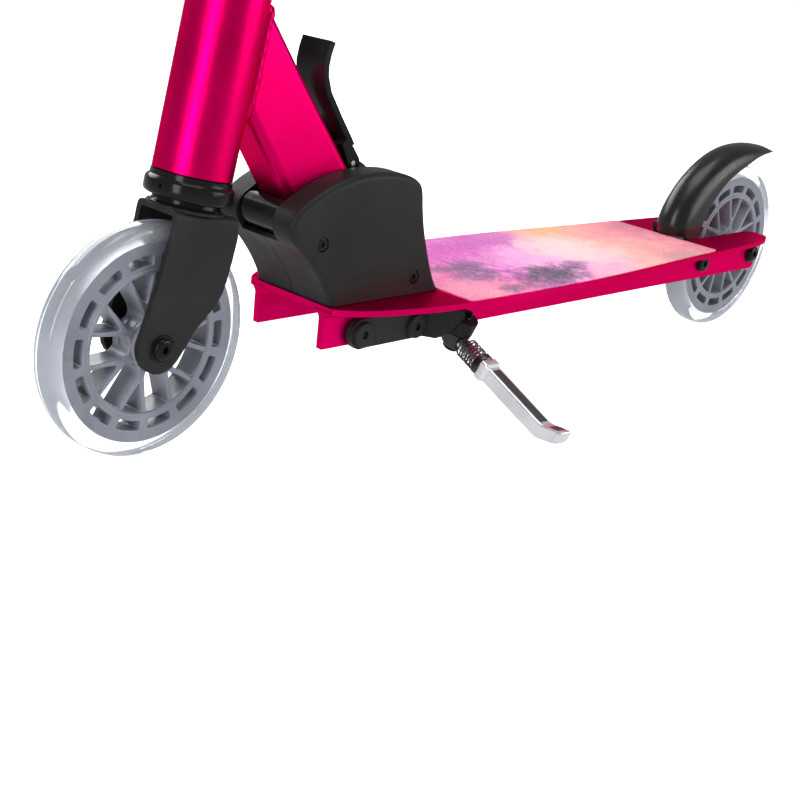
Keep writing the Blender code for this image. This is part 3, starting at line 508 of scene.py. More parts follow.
def inside(point, loop):
    hit = False
    for (x1, y1), (x2, y2) in zip(loop, loop[1:] + loop[:1]):
        if (y1 > point[1]) != (y2 > point[1]):
            if point[0] < (x2 - x1) * (point[1] - y1) / (y2 - y1) + x1:
                hit = not hit
    return hit


def side_place(a, b, h):
    return (a, h, b)


def level_place(a, b, h):
    return (a, b, h)


def prism(name, loop, low, high, look, holes=(), place=side_place, sharp=32.0):
    """Flat outline with holes pushed from low to high."""
    loops = [list(loop)] + [list(hole) for hole in holes]
    flat, edges, start = [], [], 0
    for ring in loops:
        count = len(ring)
        flat += [Vector(p) for p in ring]
        edges += [(start + i, start + (i + 1) % count) for i in range(count)]
        start += count
    verts, _, tris, *_ = delaunay_2d_cdt(flat, edges, [], 1, 1e-7)
    keep = []
    for tri in tris:
        mid = (sum(verts[i][0] for i in tri) / 3, sum(verts[i][1] for i in tri) / 3)
        if inside(mid, loops[0]) and not any(inside(mid, hole) for hole in loops[1:]):
            a, b, c = (verts[i] for i in tri)
            area = (b[0] - a[0]) * (c[1] - a[1]) - (b[1] - a[1]) * (c[0] - a[0])
            keep.append(tuple(tri) if area > 0 else tuple(tri)[::-1])
    count = len(verts)
    points = [place(v[0], v[1], low) for v in verts] + [place(v[0], v[1], high) for v in verts]
    used = {(i, j) for tri in keep for i, j in zip(tri, tri[1:] + tri[:1])}
    faces = keep + [tuple(i + count for i in tri[::-1]) for tri in keep]
    faces += [(j, i, i + count, j + count) for i, j in sorted(used) if (j, i) not in used]
    return make(name, points, faces, look, sharp)


def frame_of(axis):
    w = Vector(axis).normalized()
    side = Vector((0, 1, 0)) if abs(w.y) < 0.9 else Vector((1, 0, 0))
    u = side.cross(w).normalized()
    return u, w.cross(u), w


def bands(rings):
    """Faces between neighbouring rings of point numbers; a ring of one point gives triangles."""
    faces = []
    for lower, upper in zip(rings, rings[1:]):
        for i in range(len(lower)):
            j = (i + 1) % len(lower)
            quad = (lower[i], lower[j], upper[j], upper[i])
            face = tuple(q for k, q in enumerate(quad) if q != quad[k - 1])
            if len(face) > 2:
                faces.append(face)
    return faces


def lathe(name, profile, at, axis, look, segs=72, closed=False, sharp=32.0):
    """Turn (radius, height) points about an axis; closed joins the last to the first."""
    u, v, w = frame_of(axis)
    at = Vector(at)
    points, rings = [], []
    for radius, height in profile:
        if radius <= 0:
            rings.append([len(points)] * segs)
            points.append(at + w * height)
            continue
        rings.append(list(range(len(points), len(points) + segs)))
        for i in range(segs):
            ang = 2 * pi * i / segs
            points.append(at + w * height + (u * cos(ang) + v * sin(ang)) * radius)
    return make(name, points, bands(rings + rings[:1] if closed else rings), look, sharp)


def rod(name, start, end, radius, look, segs=48):
    axis = Vector(end) - Vector(start)
    return lathe(name, [(0, 0), (radius, 0), (radius, axis.length), (0, axis.length)],
                 start, axis, look, segs)


def loft(name, sections, look, sharp=32.0, ends=True):
    count = len(sections[0])
    points = [p for section in sections for p in section]
    rings = [tuple(range(k * count, (k + 1) * count)) for k in range(len(sections))]
    faces = bands(rings)
    if ends:
        faces += [rings[0][::-1], rings[-1]]
    return make(name, points, faces, look, sharp)


def arc(cx, cy, radius, start, end, steps):
    return [(cx + radius * cos(radians(start + (end - start) * i / steps)),
             cy + radius * sin(radians(start + (end - start) * i / steps)))
            for i in range(steps + 1)]


def curve_through(points, steps=5, closed=False):
    """Smooth line through points of any dimension."""
    pts = [Vector(p) for p in points]
    count = len(pts)
    out = []
    for i in range(count if closed else count - 1):
        if closed:
            p0, p1, p2, p3 = (pts[(i + k) % count] for k in (-1, 0, 1, 2))
        else:
            p1, p2 = pts[i], pts[i + 1]
            p0 = pts[i - 1] if i else p1 * 2 - p2
            p3 = pts[i + 2] if i + 2 < count else p2 * 2 - p1
        for k in range(steps):
            t = k / steps
            out.append(tuple(((p1 * 2) + (p2 - p0) * t + (p0 * 2 - p1 * 5 + p2 * 4 - p3) * t * t
                              + (p1 * 3 - p0 - p2 * 3 + p3) * t * t * t) * 0.5))
    if not closed:
        out.append(tuple(pts[-1]))
    return out


def resample(points, step):
    """Evenly spaced points round a closed path."""
    pts = [Vector(p) for p in points]
    pts.append(pts[0])
    total = sum((b - a).length for a, b in zip(pts, pts[1:]))
    count = max(int(total / step), 3)
    out, done, goal = [], 0.0, 0.0
    for a, b in zip(pts, pts[1:]):
        size = (b - a).length
        while size and goal <= done + size and len(out) < count:
            out.append(a.lerp(b, (goal - done) / size))
            goal += total / count
        done += size
    return out


def offset_line(points, distance):
    """Open line moved to its left by a distance."""
    out = []
    for i, p in enumerate(points):
        a = points[max(i - 1, 0)]
        b = points[min(i + 1, len(points) - 1)]
        dx, dy = b[0] - a[0], b[1] - a[1]
        size = sqrt(dx * dx + dy * dy)
        out.append((p[0] - dy / size * distance, p[1] + dx / size * distance))
    return out


def rounded(half_a, low_b, high_b, radius, steps=8):
    """Rounded rectangle in (a, b)."""
    out = []
    for a, b, start in ((half_a, high_b, 0), (-half_a, high_b, 90), (-half_a, low_b, 180),
                        (half_a, low_b, 270)):
        ca = a - radius * (1 if a > 0 else -1)
        cb = b - radius if b == high_b else b + radius
        out += arc(ca, cb, radius, start, start + 90, steps)
    return out


def tube_along(name, path, radius, look, sides=12, closed=False, sharp=40.0):
    """Round wire or bead along a path; radius is a number or one for each point."""
    pts = [Vector(p) for p in path]
    count = len(pts)
    radii = radius if isinstance(radius, list) else [radius] * count
    normal = None
    sections = []
    for i, p in enumerate(pts):
        ahead = pts[(i + 1) % count] if closed or i + 1 < count else pts[i]
        behind = pts[i - 1] if closed or i else pts[i]
        tangent = (ahead - behind).normalized()
        if normal is None:
            normal = frame_of(tangent)[0]
        normal = (normal - tangent * normal.dot(tangent)).normalized()
        side = tangent.cross(normal)
        sections.append([p + (normal * cos(2 * pi * k / sides) + side * sin(2 * pi * k / sides))
                         * radii[i] for k in range(sides)])
    if not closed:
        return loft(name, sections, look, sharp)
    points = [p for section in sections for p in section]
    first, last = sections[0], sections[-1]
    gap = [(first[0] - last[k]).length for k in range(sides)]
    turn = gap.index(min(gap))
    faces = []
    for k in range(count):
        shift = turn if k == count - 1 else 0
        a, b = k * sides, ((k + 1) % count) * sides
        for i in range(sides):
            j = (i + 1) % sides
            faces.append((a + (i + shift) % sides, a + (j + shift) % sides, b + j, b + i))
    return make(name, points, faces, look, sharp)


def socket_head(name, at, axis, radius, height, look, socket=2.6, deep=2.2, edge=1.0,
                flange=0.0, shank=0.0, shank_r=4.0, reach=0.0):
    """Round bolt head with a hexagon socket, an optional washer flange and its shank."""
    u, v, w = frame_of(axis)
    at = Vector(at)
    segs = 48
    profile = [(shank_r, -reach), (shank_r, -shank)] if reach else [(shank_r, -shank)]
    profile += [(shank_r, 0.0)]
    if flange:
        profile += [(radius + flange, 0.0), (radius + flange, 0.9), (radius + flange - 0.4, 1.3),
                    (radius, 1.4)]
    else:
        profile += [(radius, 0.0)]
    for k in range(5):
        ang = radians(90 * k / 4)
        profile.append((radius - edge + edge * cos(ang), height - edge + edge * sin(ang)))
    points, rings = [], []

    def add(ring_points):
        rings.append(list(range(len(points), len(points) + segs)))
        points.extend(ring_points)

    for r, h in profile:
        add([at + w * h + (u * cos(2 * pi * i / segs) + v * sin(2 * pi * i / segs)) * r
             for i in range(segs)])

    def hexagon(size, h):
        out = []
        for i in range(segs):
            ang = 2 * pi * i / segs
            local = (ang + pi / 6) % (pi / 3) - pi / 6
            r = size * cos(pi / 6) / cos(local)
            out.append(at + w * h + (u * cos(ang) + v * sin(ang)) * r)
        return out

    add(hexagon(socket + 0.35, height))
    add(hexagon(socket, height - 0.35))
    add(hexagon(socket, height - deep))
    return make(name, points, bands(rings) + [tuple(rings[-1]), tuple(rings[0][::-1])], look)


def coil(name, at, axis, radius, wire, coils, length, look, per_turn=36, sides=10):
    """Round wire spring with closed, flattened ends."""
    u, v, w = frame_of(axis)
    at = Vector(at)
    steps = int(coils * per_turn)
    path = []
    for i in range(steps + 1):
        t = i / steps
        ang = 2 * pi * i / per_turn
        rise = wire + (length - 2 * wire) * (t + 0.045 * sin(4 * pi * t) / pi * 2)
        path.append(at + w * rise + (u * cos(ang) + v * sin(ang)) * radius)
    return tube_along(name, path, wire, look, sides)


# ---- Wheels ----
def wheel(tag, centre, turn):
    body = tag + "_wheel"
    node = tag + "_wheel_core"
    cx, cz = centre

    def place(a, b, h):
        return (cx + a, h, cz + b)

    def rotated(points, angle):
        c, s = cos(angle), sin(angle)
        return [(a * c - b * s, a * s + b * c) for a, b in points]

    def corner(reach, angle, start, end):
        return arc(reach * cos(radians(angle)), reach * sin(radians(angle)), SLOT_CORNER,
                   start, end, 3)

    slots = []
    for k in range(SLOTS):
        mid = turn + 360.0 * k / SLOTS
        low, high = mid - 8.0, mid + 8.0
        slots.append(arc(0, 0, 54.6, low, high, 8) + corner(53.2, high, mid + 8 + 20, mid + 98)
                     + corner(50.0, high, mid + 98, mid + 188) + arc(0, 0, 48.6, high, low, 8)
                     + corner(50.0, low, mid - 188, mid - 98)
                     + corner(53.2, low, mid - 98, mid - 28))
    band = prism(tag + "_wheel_core_piece", arc(0, 0, CORE_R, 0, 360, 144)[:-1], -CORE_HALF,
                 CORE_HALF, CORE, holes=[arc(0, 0, 45.4, 0, 360, 120)[:-1]] + slots, place=place)
    petals = []
    for k in range(PETALS):
        mid = radians(turn + 360.0 * k / PETALS)
        edge = [(20.5, 6.9), (17.4, 5.5), (15.6, 3.1), (15.0, 0.0), (15.6, -3.1), (17.4, -5.5),
                (20.5, -6.9)]
        edge = curve_through(edge, 4)
        reach = asin(8.6 / 43.4)
        rim = arc(0, 0, 43.4, -degrees(reach), degrees(reach), 8)
        petals.append(rotated(edge + rim, mid))
        mid += pi / PETALS
        reach = asin(7.4 / 43.4)
        fan = [(26.6, 1.0), (25.6, 0.0), (26.6, -1.0)] \
            + curve_through([(33.5, -4.2), (40.0, -6.6)], 2)
        fan = fan + arc(0, 0, 43.4, -degrees(reach), degrees(reach), 8) + [(40.0, 6.6), (33.5, 4.2)]
        petals.append(rotated(fan, mid))
    web = prism(tag + "_spokes", arc(0, 0, 45.6, 0.7, 360.7, 120)[:-1], -SPOKE_HALF,
                SPOKE_HALF, CORE, holes=[arc(0, 0, 11.2, 0, 360, 48)[:-1]] + petals,
                place=place)
    put(soften(web, 0.95, 3, 40.0), body, node)
    put(soften(band, 0.6, 3, 40.0), body, node, node)
    axis_at = (cx, 0, cz)
    for side, word in ((1, "left"), (-1, "right")):
        lip = [(43.5, 6.6), (43.3, 8.2), (43.9, 9.1), (45.0, 9.35), (46.1, 9.1), (46.7, 8.3),
               (46.7, 6.6)]
        put(lathe("%s_rim_lip_%s" % (tag, word), lip, axis_at, (0, side, 0), CORE, 144,
                  closed=True), body, node)
        hub = [(11.1, 2.0), (11.1, 10.0), (11.4, 10.35), (13.6, 10.35), (14.3, 9.6), (14.6, 6.0),
               (15.6, 5.0), (15.6, 2.0)]
        put(lathe("%s_hub_%s" % (tag, word), hub, axis_at, (0, side, 0), CORE, 72, closed=True),
            body, node)
        race = [(4.3, 3.6), (4.3, 10.1), (5.9, 10.1), (6.2, 9.8), (6.3, 9.4), (9.1, 9.4),
                (9.2, 9.8), (9.5, 10.1), (10.8, 10.1), (11.0, 9.8), (11.0, 3.6)]
        bearing = "%s_bearing_%s" % (tag, word)
        put(lathe(bearing + "_piece", race, axis_at, (0, side, 0), STEEL, 60, closed=True),
            body, bearing, bearing)
    # Clear tyre: flat sides and a rounded tread.
    profile = [(CORE_R - 0.5, -CORE_HALF + 0.5), (CORE_R - 0.1, -CORE_HALF)]
    for k in range(33):
        ang = radians(-90 + 180 * k / 32)
        h = TYRE_HALF * (1 if ang > 0 else -1) * abs(sin(ang)) ** 0.62
        r = 65.2 + (WHEEL_R - 65.2) * cos(ang) ** 0.72 if abs(ang) < radians(89.9) else 65.2
        profile.append((min(r, WHEEL_R), h))
    profile += [(CORE_R - 0.1, CORE_HALF), (CORE_R - 0.5, CORE_HALF - 0.5)]
    put(lathe(tag + "_tyre_piece", profile, axis_at, (0, 1, 0), TYRE, 160, closed=True,
              sharp=50.0), body, tag + "_tyre", tag + "_tyre")


wheel("front", (WHEELBASE, AXLE_Z), 1.0)
wheel("rear", (0.0, AXLE_Z), 15.0)

# ---- Fork, headset and axles ----
finer("fork", FORK, 0.55, 3, 40.0)
FOOT = col(0, 0, 0)
put(lathe("crown_race", [(20.0, 79.6), (22.8, 79.7), (22.4, 80.6), (21.3, 81.6), (20.7, 83.0),
                         (20.5, 84.6), (19.9, 85.0), (15.0, 85.0), (15.0, 79.6)], FOOT,
          AXIS_S, GLOSS, 96, closed=True), "steering", "fork")
bead = []
for k in range(90):
    ang = 2 * pi * k / 90
    bead.append(col(22.9 * cos(ang), 22.9 * sin(ang), 80.0))
put(tube_along("crown_weld", bead, [1.0 + 0.22 * sin(k * 1.1) for k in range(90)], FORK, 8,
               closed=True), "steering", "fork")


def axle(tag, centre, half, clamp, head, height, node, look):
    cx, cz = centre
    seat = half - clamp - 0.3
    spindle = [(0, -half - 7.5), (3.4, -half - 7.5), (3.9, -half - 7.0), (3.9, -seat),
               (6.4, -seat), (6.4, -10.7), (4.0, -10.7), (4.0, 10.7), (6.4, 10.7), (6.4, seat),
               (3.9, seat), (3.9, half + 0.2), (0, half + 0.2)]
    body = "steering" if tag == "front" else "base"
    put(lathe(tag + "_axle_spindle", spindle, (cx, 0, cz), Y, STEEL, 48), body, node)
    ring = [(head - 1.0, half + 0.2), (head + 1.7, half + 0.2), (head + 1.7, half + 0.7),
            (head + 1.3, half + 1.0), (head - 1.0, half + 1.0)]
    put(lathe(tag + "_axle_washer", ring, (cx, 0, cz), Y, look, 60, closed=True), body, node)
    bolt = socket_head(tag + "_axle_head", (cx, half + 0.3, cz), Y, head, height, look, 2.6, 2.4,
                       2.3, 0, 0.1, 3.0)
    put(bolt, body, node, node)


axle("front", (WHEELBASE, AXLE_Z), 19.2, 4.0, 6.9, 3.6, "front_axle", GLOSS)
axle("rear", (0.0, AXLE_Z), FLANGE_Y, 5.0, 6.8, 4.2, "rear_axle", GLOSS)
for node in ("front_axle_nut", "rear_axle_nut", "fender_nut", "fold_pivot_nut"):
    finer(node, STEEL, 0.35, 2, 25.0)


def turned(name, profile, look, body, slot, *stands, segs=96, closed=True):
    return put(lathe(name, profile, FOOT, AXIS_S, look, segs, closed), body, slot, *stands)


cup = lathe("headset_cup_lower_piece",
            [(17.0, 85.2), (24.6, 85.2), (25.6, 85.6), (26.6, 86.5), (27.0, 87.6), (27.0, 93.4),
             (26.6, 94.6), (25.7, 95.6), (24.9, 96.2), (24.6, 97.0), (24.6, 99.3), (17.0, 99.3)],
            FOOT, AXIS_S, GLOSS, 96, closed=True)
cut(cup, rod("drain", col(20, 4.0, 91.0), col(30, 6.2, 91.0), 1.1, GLOSS, 20))
put(shade(cup), "front_frame", "headset_cup_lower", "headset_cup_lower")
turned("headset_cup_upper_piece",
       [(17.0, 220.4), (24.4, 220.4), (24.7, 221.4), (25.6, 222.6), (26.4, 223.8), (26.4, 227.4),
        (26.0, 228.4), (25.0, 229.6), (23.6, 230.0), (17.0, 230.0)], GLOSS, "front_frame",
       "headset_cup_upper", "headset_cup_upper")
finer("headset_locknut", FORK, 0.5, 2, 30.0)

# ---- Front frame: head tube, down tube, weld and the cross barrel ----
turned("head_tube", [(17.6, HEAD_LOW), (HEAD_R - 0.6, HEAD_LOW), (HEAD_R, HEAD_LOW + 0.6),
                     (HEAD_R, HEAD_HIGH - 0.6), (HEAD_R - 0.6, HEAD_HIGH), (17.6, HEAD_HIGH)],
       PINK, "front_frame", "front_frame", segs=128)
DOWN = Vector((-0.612, 0, -0.791)).normalized()
OUT = Vector((DOWN.z, 0, -DOWN.x))
TUBE_AT = Vector((584.0, 0.0, 235.0))


def along(q, n, y=0.0):
    p = TUBE_AT + DOWN * q + OUT * n
    return Vector((p.x, y, p.z))


def tube_section(q, shrink=0.0, steps=8):
    low = -18.9 - 0.027 * (q + 20) + shrink
    high = 25.7 + 0.0285 * (q + 17) - shrink
    return [along(q, n, y) for y, n in
            rounded(TUBE_HALF - shrink, low, high, 6.0 - shrink * 0.6, steps)]


def head_meets(y, n):
    """How far down the tube a line at (y, n) leaves the head tube."""
    low, high = -30.0, 60.0
    for _ in range(40):
        mid = (low + high) / 2
        offset = along(mid, n, y) - FOOT
        outward = offset - AXIS_S * offset.dot(AXIS_S)
        low, high = (mid, high) if outward.length < HEAD_R else (low, mid)
    return low


outer = tube_section(0.0)
ends = []
for p in outer:
    n = (p - TUBE_AT).dot(OUT)
    ends.append((head_meets(p.y, n), p.y, n))
sections = [[along(q - 4.0, n, y) for q, y, n in ends]]
for q in (30, 60, 90, 115):
    sections.append(tube_section(q))
down_tube = loft("down_tube", sections, PINK)
swing = [(-8, -9.4), (-14, -2.6), (-21, 2.4), (-38.3, 9.6), (-52.4, 13.8), (-66, 17.2),
         (-72, -20), (-12, -26)]
pin_dir = Vector((cos(radians(PIN_ANGLE)), 0, sin(radians(PIN_ANGLE))))
pin_side = Vector((-pin_dir.z, 0, pin_dir.x))
slot_loop = []
for sign, reach in ((1, PIN_AT + 3.2), (-1, PIN_AT)):
    for step in range(9):
        ang = radians(-90 + 22.5 * step)
        p = PIVOT + pin_dir * (reach + sign * 3.0 * cos(ang)) + pin_side * (sign * 3.0 * sin(ang))
        slot_loop.append((p.x, p.z))
cut(down_tube, loft("room", [tube_section(40, 3.0), tube_section(125, 3.0)], PINK),
    prism("swing", [(PIVOT.x + a, PIVOT.z + b) for a, b in swing], -20, 20, PINK),
    prism("pin_slot", slot_loop, -20, 20, PINK))
weigh(shade(down_tube, 40.0))
put(down_tube, "front_frame", "front_frame", "front_frame")
weld = []
for i, (q, y, n) in enumerate(ends):
    weld.append(along(q + 0.4, n, y))
weld = [Vector(p) for p in curve_through(resample(weld, 3.0), 4, closed=True)]
ripple = [3.2 + 0.14 * sin(i * 0.62) + 0.14 * sin(i * 0.23 + 1.0) for i in range(len(weld))]
put(tube_along("weld_bead", weld, ripple, PINK, 10, closed=True), "front_frame", "front_frame")
lug_line = [along(q, n) for q, n in ((86, 26), (114.6, 26), (112.0, 34.0), (106.0, 40.0),
                                     (101.0, 39.0), (97.0, 34.5))]
lug = prism("lever_lug", [(p.x, p.z) for p in lug_line], -4.3, 4.3, PINK)
put(soften(lug, 0.6, 3), "front_frame", "front_frame")
barrel = [(4.3, -16.3), (10.2, -16.3), (11.0, -15.5), (11.0, 15.5), (10.2, 16.3), (4.3, 16.3)]
put(lathe("cross_barrel", barrel, PIVOT, Y, GLOSS, 80, closed=True), "front_frame",
    "front_frame")
latch = PIVOT + pin_dir * PIN_AT
put(lathe("latch_pin_piece", [(0, -19.4), (PIN_R - 0.4, -19.4), (PIN_R, -19.0), (PIN_R, 19.0),
                              (PIN_R - 0.4, 19.4), (0, 19.4)], latch, Y, STEEL, 36),
    "latch_pin", "latch_pin", "latch_pin")
put(lathe("fold_lever_pin_piece", [(0, -12.4), (1.7, -12.4), (2.0, -12.1), (2.0, 12.1),
                                   (1.7, 12.4), (0, 12.4)], LEVER_AT, Y, STEEL, 32),
    "front_frame", "fold_lever_pin", "fold_lever_pin")
finer("fold_lever", GLOSS, 0.6, 3, 35.0)

# ---- Fold bracket and its covers ----
finer("fold_bracket", FORK, 0.35, 2, 35.0)
pivot_bolt = lathe("fold_pivot_shank", [(0, -28.0), (3.6, -28.0), (4.0, -27.5), (4.0, 20.2),
                                        (0, 20.2)], PIVOT, Y, STEEL, 40)
put(pivot_bolt, "base", "fold_pivot_bolt")
put(socket_head("fold_pivot_head", PIVOT + Y * 20.0, Y, 6.6, 4.0, STEEL, 2.6, 2.0, 0.8, 0, 0.1,
                3.0), "base", "fold_pivot_bolt", "fold_pivot_bolt")
TOP = [(522.5, 88.0), (525.0, 95.0), (533.0, 107.0), (544.0, 119.6), (555.0, 129.0),
       (560.4, 136.0), (562.0, 143.0), (558.8, 150.0), (552.0, 154.8), (543.0, 160.0),
       (527.0, 166.6), (510.0, 170.6), (492.0, 172.0), (474.0, 171.0), (460.0, 168.0),
       (450.5, 163.4), (446.6, 157.0), (444.0, 145.0), (439.0, 128.0), (428.5, 103.0),
       (419.5, 88.0)]
SMOOTH_TOP = curve_through(TOP, 4)
SCREWS = ((534.9, 129.7, "front"), (446.5, 99.6, "rear"))


def inset(distance):
    """The covers' side outline moved inward, still standing on the deck."""
    line = offset_line(SMOOTH_TOP, distance)
    line[0] = (line[0][0], 88.0)
    line[-1] = (line[-1][0], 88.0)
    return [(x, max(z, 88.0)) for x, z in line]


def cover(word, side):
    node = "cover_" + word
    edge = 4.2
    rings = [(16.7, 0.0), (COVER_Y - edge, 0.0)]
    for k in range(1, 7):
        ang = radians(15 * k)
        rings.append((COVER_Y - edge + edge * sin(ang), edge * (1 - cos(ang))))
    sections = [[(x, side * y, z) for x, z in inset(d)] for y, d in rings]
    shell = loft(node + "_piece", sections, COVER, 28.0)
    near = offset_line(SMOOTH_TOP, COVER_WALL)
    near[0], near[-1] = (near[0][0], 84.0), (near[-1][0], 84.0)
    low, high = sorted((side * 11.0, side * (COVER_Y - COVER_WALL)))
    cut(shell, prism("pocket", near, low, high, COVER))
    front = curve_through(TOP[:5], 5)
    back = offset_line(front, COVER_WALL)
    back[0] = (back[0][0], 88.0)
    low, high = sorted((side * 0.28, side * 17.5))
    wall = prism("front_wall", front + back[::-1], low, high, COVER)
    for x, z, _ in SCREWS:
        boss = rod("boss", (x, side * 20.2, z), (x, side * (COVER_Y - 2), z), 6.0, COVER, 32)
        union(shell, boss)
        cut(shell, rod("bore", (x, side * 15, z), (x, side * 40, z), 2.3, COVER, 24),
            rod("recess", (x, side * 33.4, z), (x, side * 40, z), 4.8, COVER, 48))
    union(shell, wall)
    put(soften(shade(shell, 30.0), 0.3, 2, 40.0), "base", node, node)
    # A faint raised arc follows the crown of each cover's face.
    crest = [(x, side * (COVER_Y - 0.25), z) for x, z in offset_line(SMOOTH_TOP, 17.0)[34:62]]
    put(tube_along(node + "_crease", crest, 0.32, COVER, 8), "base", node)
    for x, z, place_word in SCREWS:
        screw = "cover_screw_%s_%s" % (place_word, word)
        head = socket_head(screw + "_piece", (x, side * 33.5, z), (0, side, 0), 4.3, 2.1, GLOSS,
                           1.7, 1.3, 0.7, 0, 15.0, 2.0)
        put(head, "base", screw, screw)


cover("left", 1)
cover("right", -1)

# ---- Deck and grip tape ----
HALF_WIDTH = [(523.5, 37.0), (522.0, 41.0), (511.0, 48.5), (496.0, 54.2), (480.0, 58.4),
              (462.0, 62.0), (442.0, 65.0), (420.0, 66.8), (380.0, 68.0), (330.0, 68.2),
              (280.0, 67.0), (235.0, 64.5), (196.0, 61.4), (150.0, 57.6), (105.0, 54.2),
              (74.0, 52.2), (40.0, 49.4), (15.0, 46.6), (-4.0, 42.6), (-14.0, 37.0),
              (-17.0, 31.0), (-17.0, 23.5), (-13.0, 18.6)]
edge = curve_through(HALF_WIDTH, 4)
outline = edge + [(-9.0, SLOT_HALF), (SLOT_FRONT - 1.5, SLOT_HALF)]
outline += arc(SLOT_FRONT - 1.5, SLOT_HALF - 1.5, 1.5, 90, 0, 4)[1:]
outline += [(x, -y) for x, y in outline[::-1]]
deck = prism("deck_piece", outline, DECK_TOP - DECK_T, DECK_TOP, PINK, place=level_place)
FILLET = 5.0
for side in (1, -1):
    near, far = FLANGE_Y - FLANGE_T, FLANGE_Y
    web_line = [(near, FLANGE_LOW), (far, FLANGE_LOW)]
    web_line += arc(far + FILLET, 83.5 - FILLET, FILLET, 180, 90, 6)
    web_line += [(far + FILLET, 84.4), (near - FILLET, 84.4)]
    web_line += arc(near - FILLET, 83.5 - FILLET, FILLET, 90, 0, 6)
    sections = []
    for x, drop in ((-9.0, 3.2), (-6.0, 0.0), (524.4, 0.0)):
        sections.append([(x if z > 70 else x + (1.0 if x < 0 else -0.6), side * y,
                          z + drop if z < 70 else z) for y, z in web_line])
    union(deck, loft("flange", sections, PINK))
soften(shade(deck), 0.45, 2, 35.0)
put(deck, "base", "deck", "deck")

tape_side = [(x, y - 1.6) for x, y in edge if 92 < x < 416]
tape = arc(415.9, 62.9, 2.6, -0, 80, 4) + tape_side + arc(92.4, 49.3, 2.2, 100, 180, 4)
tape += [(x, -y) for x, y in tape[::-1]]
sheet = prism("grip_tape_piece", tape, DECK_TOP + 0.02, DECK_TOP + 1.0, TAPE,
              place=level_place)
put(soften(sheet, 0.22, 2), "base", "grip_tape", "grip_tape")

# ---- Fender brake ----
CREST = [(91.0, 89.6), (93.0, 98.0), (90.0, 109.0), (83.0, 120.6), (70.0, 134.4),
         (53.0, 146.4), (33.0, 156.0), (12.0, 161.4), (-10.0, 162.8), (-32.0, 160.8),
         (-47.0, 157.0), (-56.5, 153.6)]
EDGE = [(64.0, 89.6), (63.6, 93.0), (61.5, 99.0), (58.0, 106.0), (51.5, 117.0),
        (42.0, 127.4), (31.0, 135.6), (19.0, 141.8), (5.0, 147.4), (-10.0, 152.2),
        (-28.0, 154.8), (-49.0, 154.6)]
WIDE = [1.0] * 9 + [0.93, 0.78, 0.42]
crest_line = curve_through(CREST, 5)
edge_line = curve_through(EDGE, 5)
wide_line = [w[0] for w in curve_through([(w, 0.0) for w in WIDE], 5)]


def fender_ring(index, inner):
    """Arched cross-section between the side edges and the crest."""
    (cx, cz), (ex, ez) = crest_line[index], edge_line[index]
    width = FENDER_HALF * min(wide_line[index], 1.0)
    dx, dz = cx - ex, cz - ez
    size = sqrt(dx * dx + dz * dz)
    height = size
    if inner:
        width -= 2.8
        height = max(height - 2.8, 0.5)
    out = []
    for step in range(33):
        t = pi * step / 32
        rise = height * (max(sin(t), 0.0) ** 0.62)
        out.append((ex + dx / size * rise, -width * cos(t), ez + dz / size * rise))
    return out


sections = [fender_ring(i, False) + fender_ring(i, True)[::-1] for i in range(len(crest_line))]
fender = loft("fender_piece", sections, FENDER, 45.0)
for side in (1, -1):
    ear = [(66.0, 96.0), (86.0, 96.0), (85.0, 90.0), (82.0, 88.4), (82.0, 79.0)]
    ear += arc(FENDER_AT.x, FENDER_AT.z, 8.0, 50, -200, 24) + [(66.0, 84.0)]
    union(fender, prism("ear", ear, *sorted((side * 13.0, side * (FENDER_HALF - 0.05))), FENDER))
weigh(shade(fender, 50.0))
put(fender, "fender", "fender", "fender")
put(lathe("fender_bolt_shank", [(0, -FLANGE_Y - 7), (3.6, -FLANGE_Y - 7), (4.0, -FLANGE_Y - 6.5),
                                (4.0, FLANGE_Y + 0.5), (0, FLANGE_Y + 0.5)],
          FENDER_AT, Y, STEEL, 40), "base", "fender_bolt")
put(socket_head("fender_bolt_head", FENDER_AT + Y * (FLANGE_Y + 0.3), Y, 6.9, 3.4, GLOSS, 2.6,
                2.0, 1.3, 0, 0.1, 3.0), "base", "fender_bolt", "fender_bolt")
put(coil("fender_spring_piece", FENDER_AT + Y * 18.4, Y, 6.4, 0.8, 3.5, 8.0, STEEL), "base",
    "fender_spring", "fender_spring")

# ---- Kickstand ----
finer("kickstand_bracket", FORK, 0.5, 3, 35.0)
for index, (x, z) in enumerate(((492.6, 66.7), (442.0, 66.0))):
    node = "bracket_bolt_%d" % (index + 1)
    put(socket_head(node + "_piece", (x, 38.9, z), Y, 8.4, 2.9, FORK, 2.9, 2.2, 1.2, 0, 12.0,
                    4.0), "base", node, node)
pivot = [(0, -14.0), (5.4, -14.0), (6.0, -13.4), (6.0, -10.4), (3.1, -10.4), (3.1, 13.0),
         (2.6, 13.6), (0, 13.6)]
put(lathe("kickstand_pivot_bolt_piece", pivot, STAND_AT, HINGE, GLOSS, 48), "base",
    "kickstand_pivot_bolt", "kickstand_pivot_bolt")
MIDDLE = STAND_AT - HINGE * 4.7


def bar_section(t, half, lift=0.0, chamfer=0.2):
    mid = MIDDLE + OUTWARD * t + Vector((0, 0, lift))
    return [mid + SIDEWAY * a + HINGE * b for a, b in
            rounded(half, -half, half, half * chamfer, 4)]


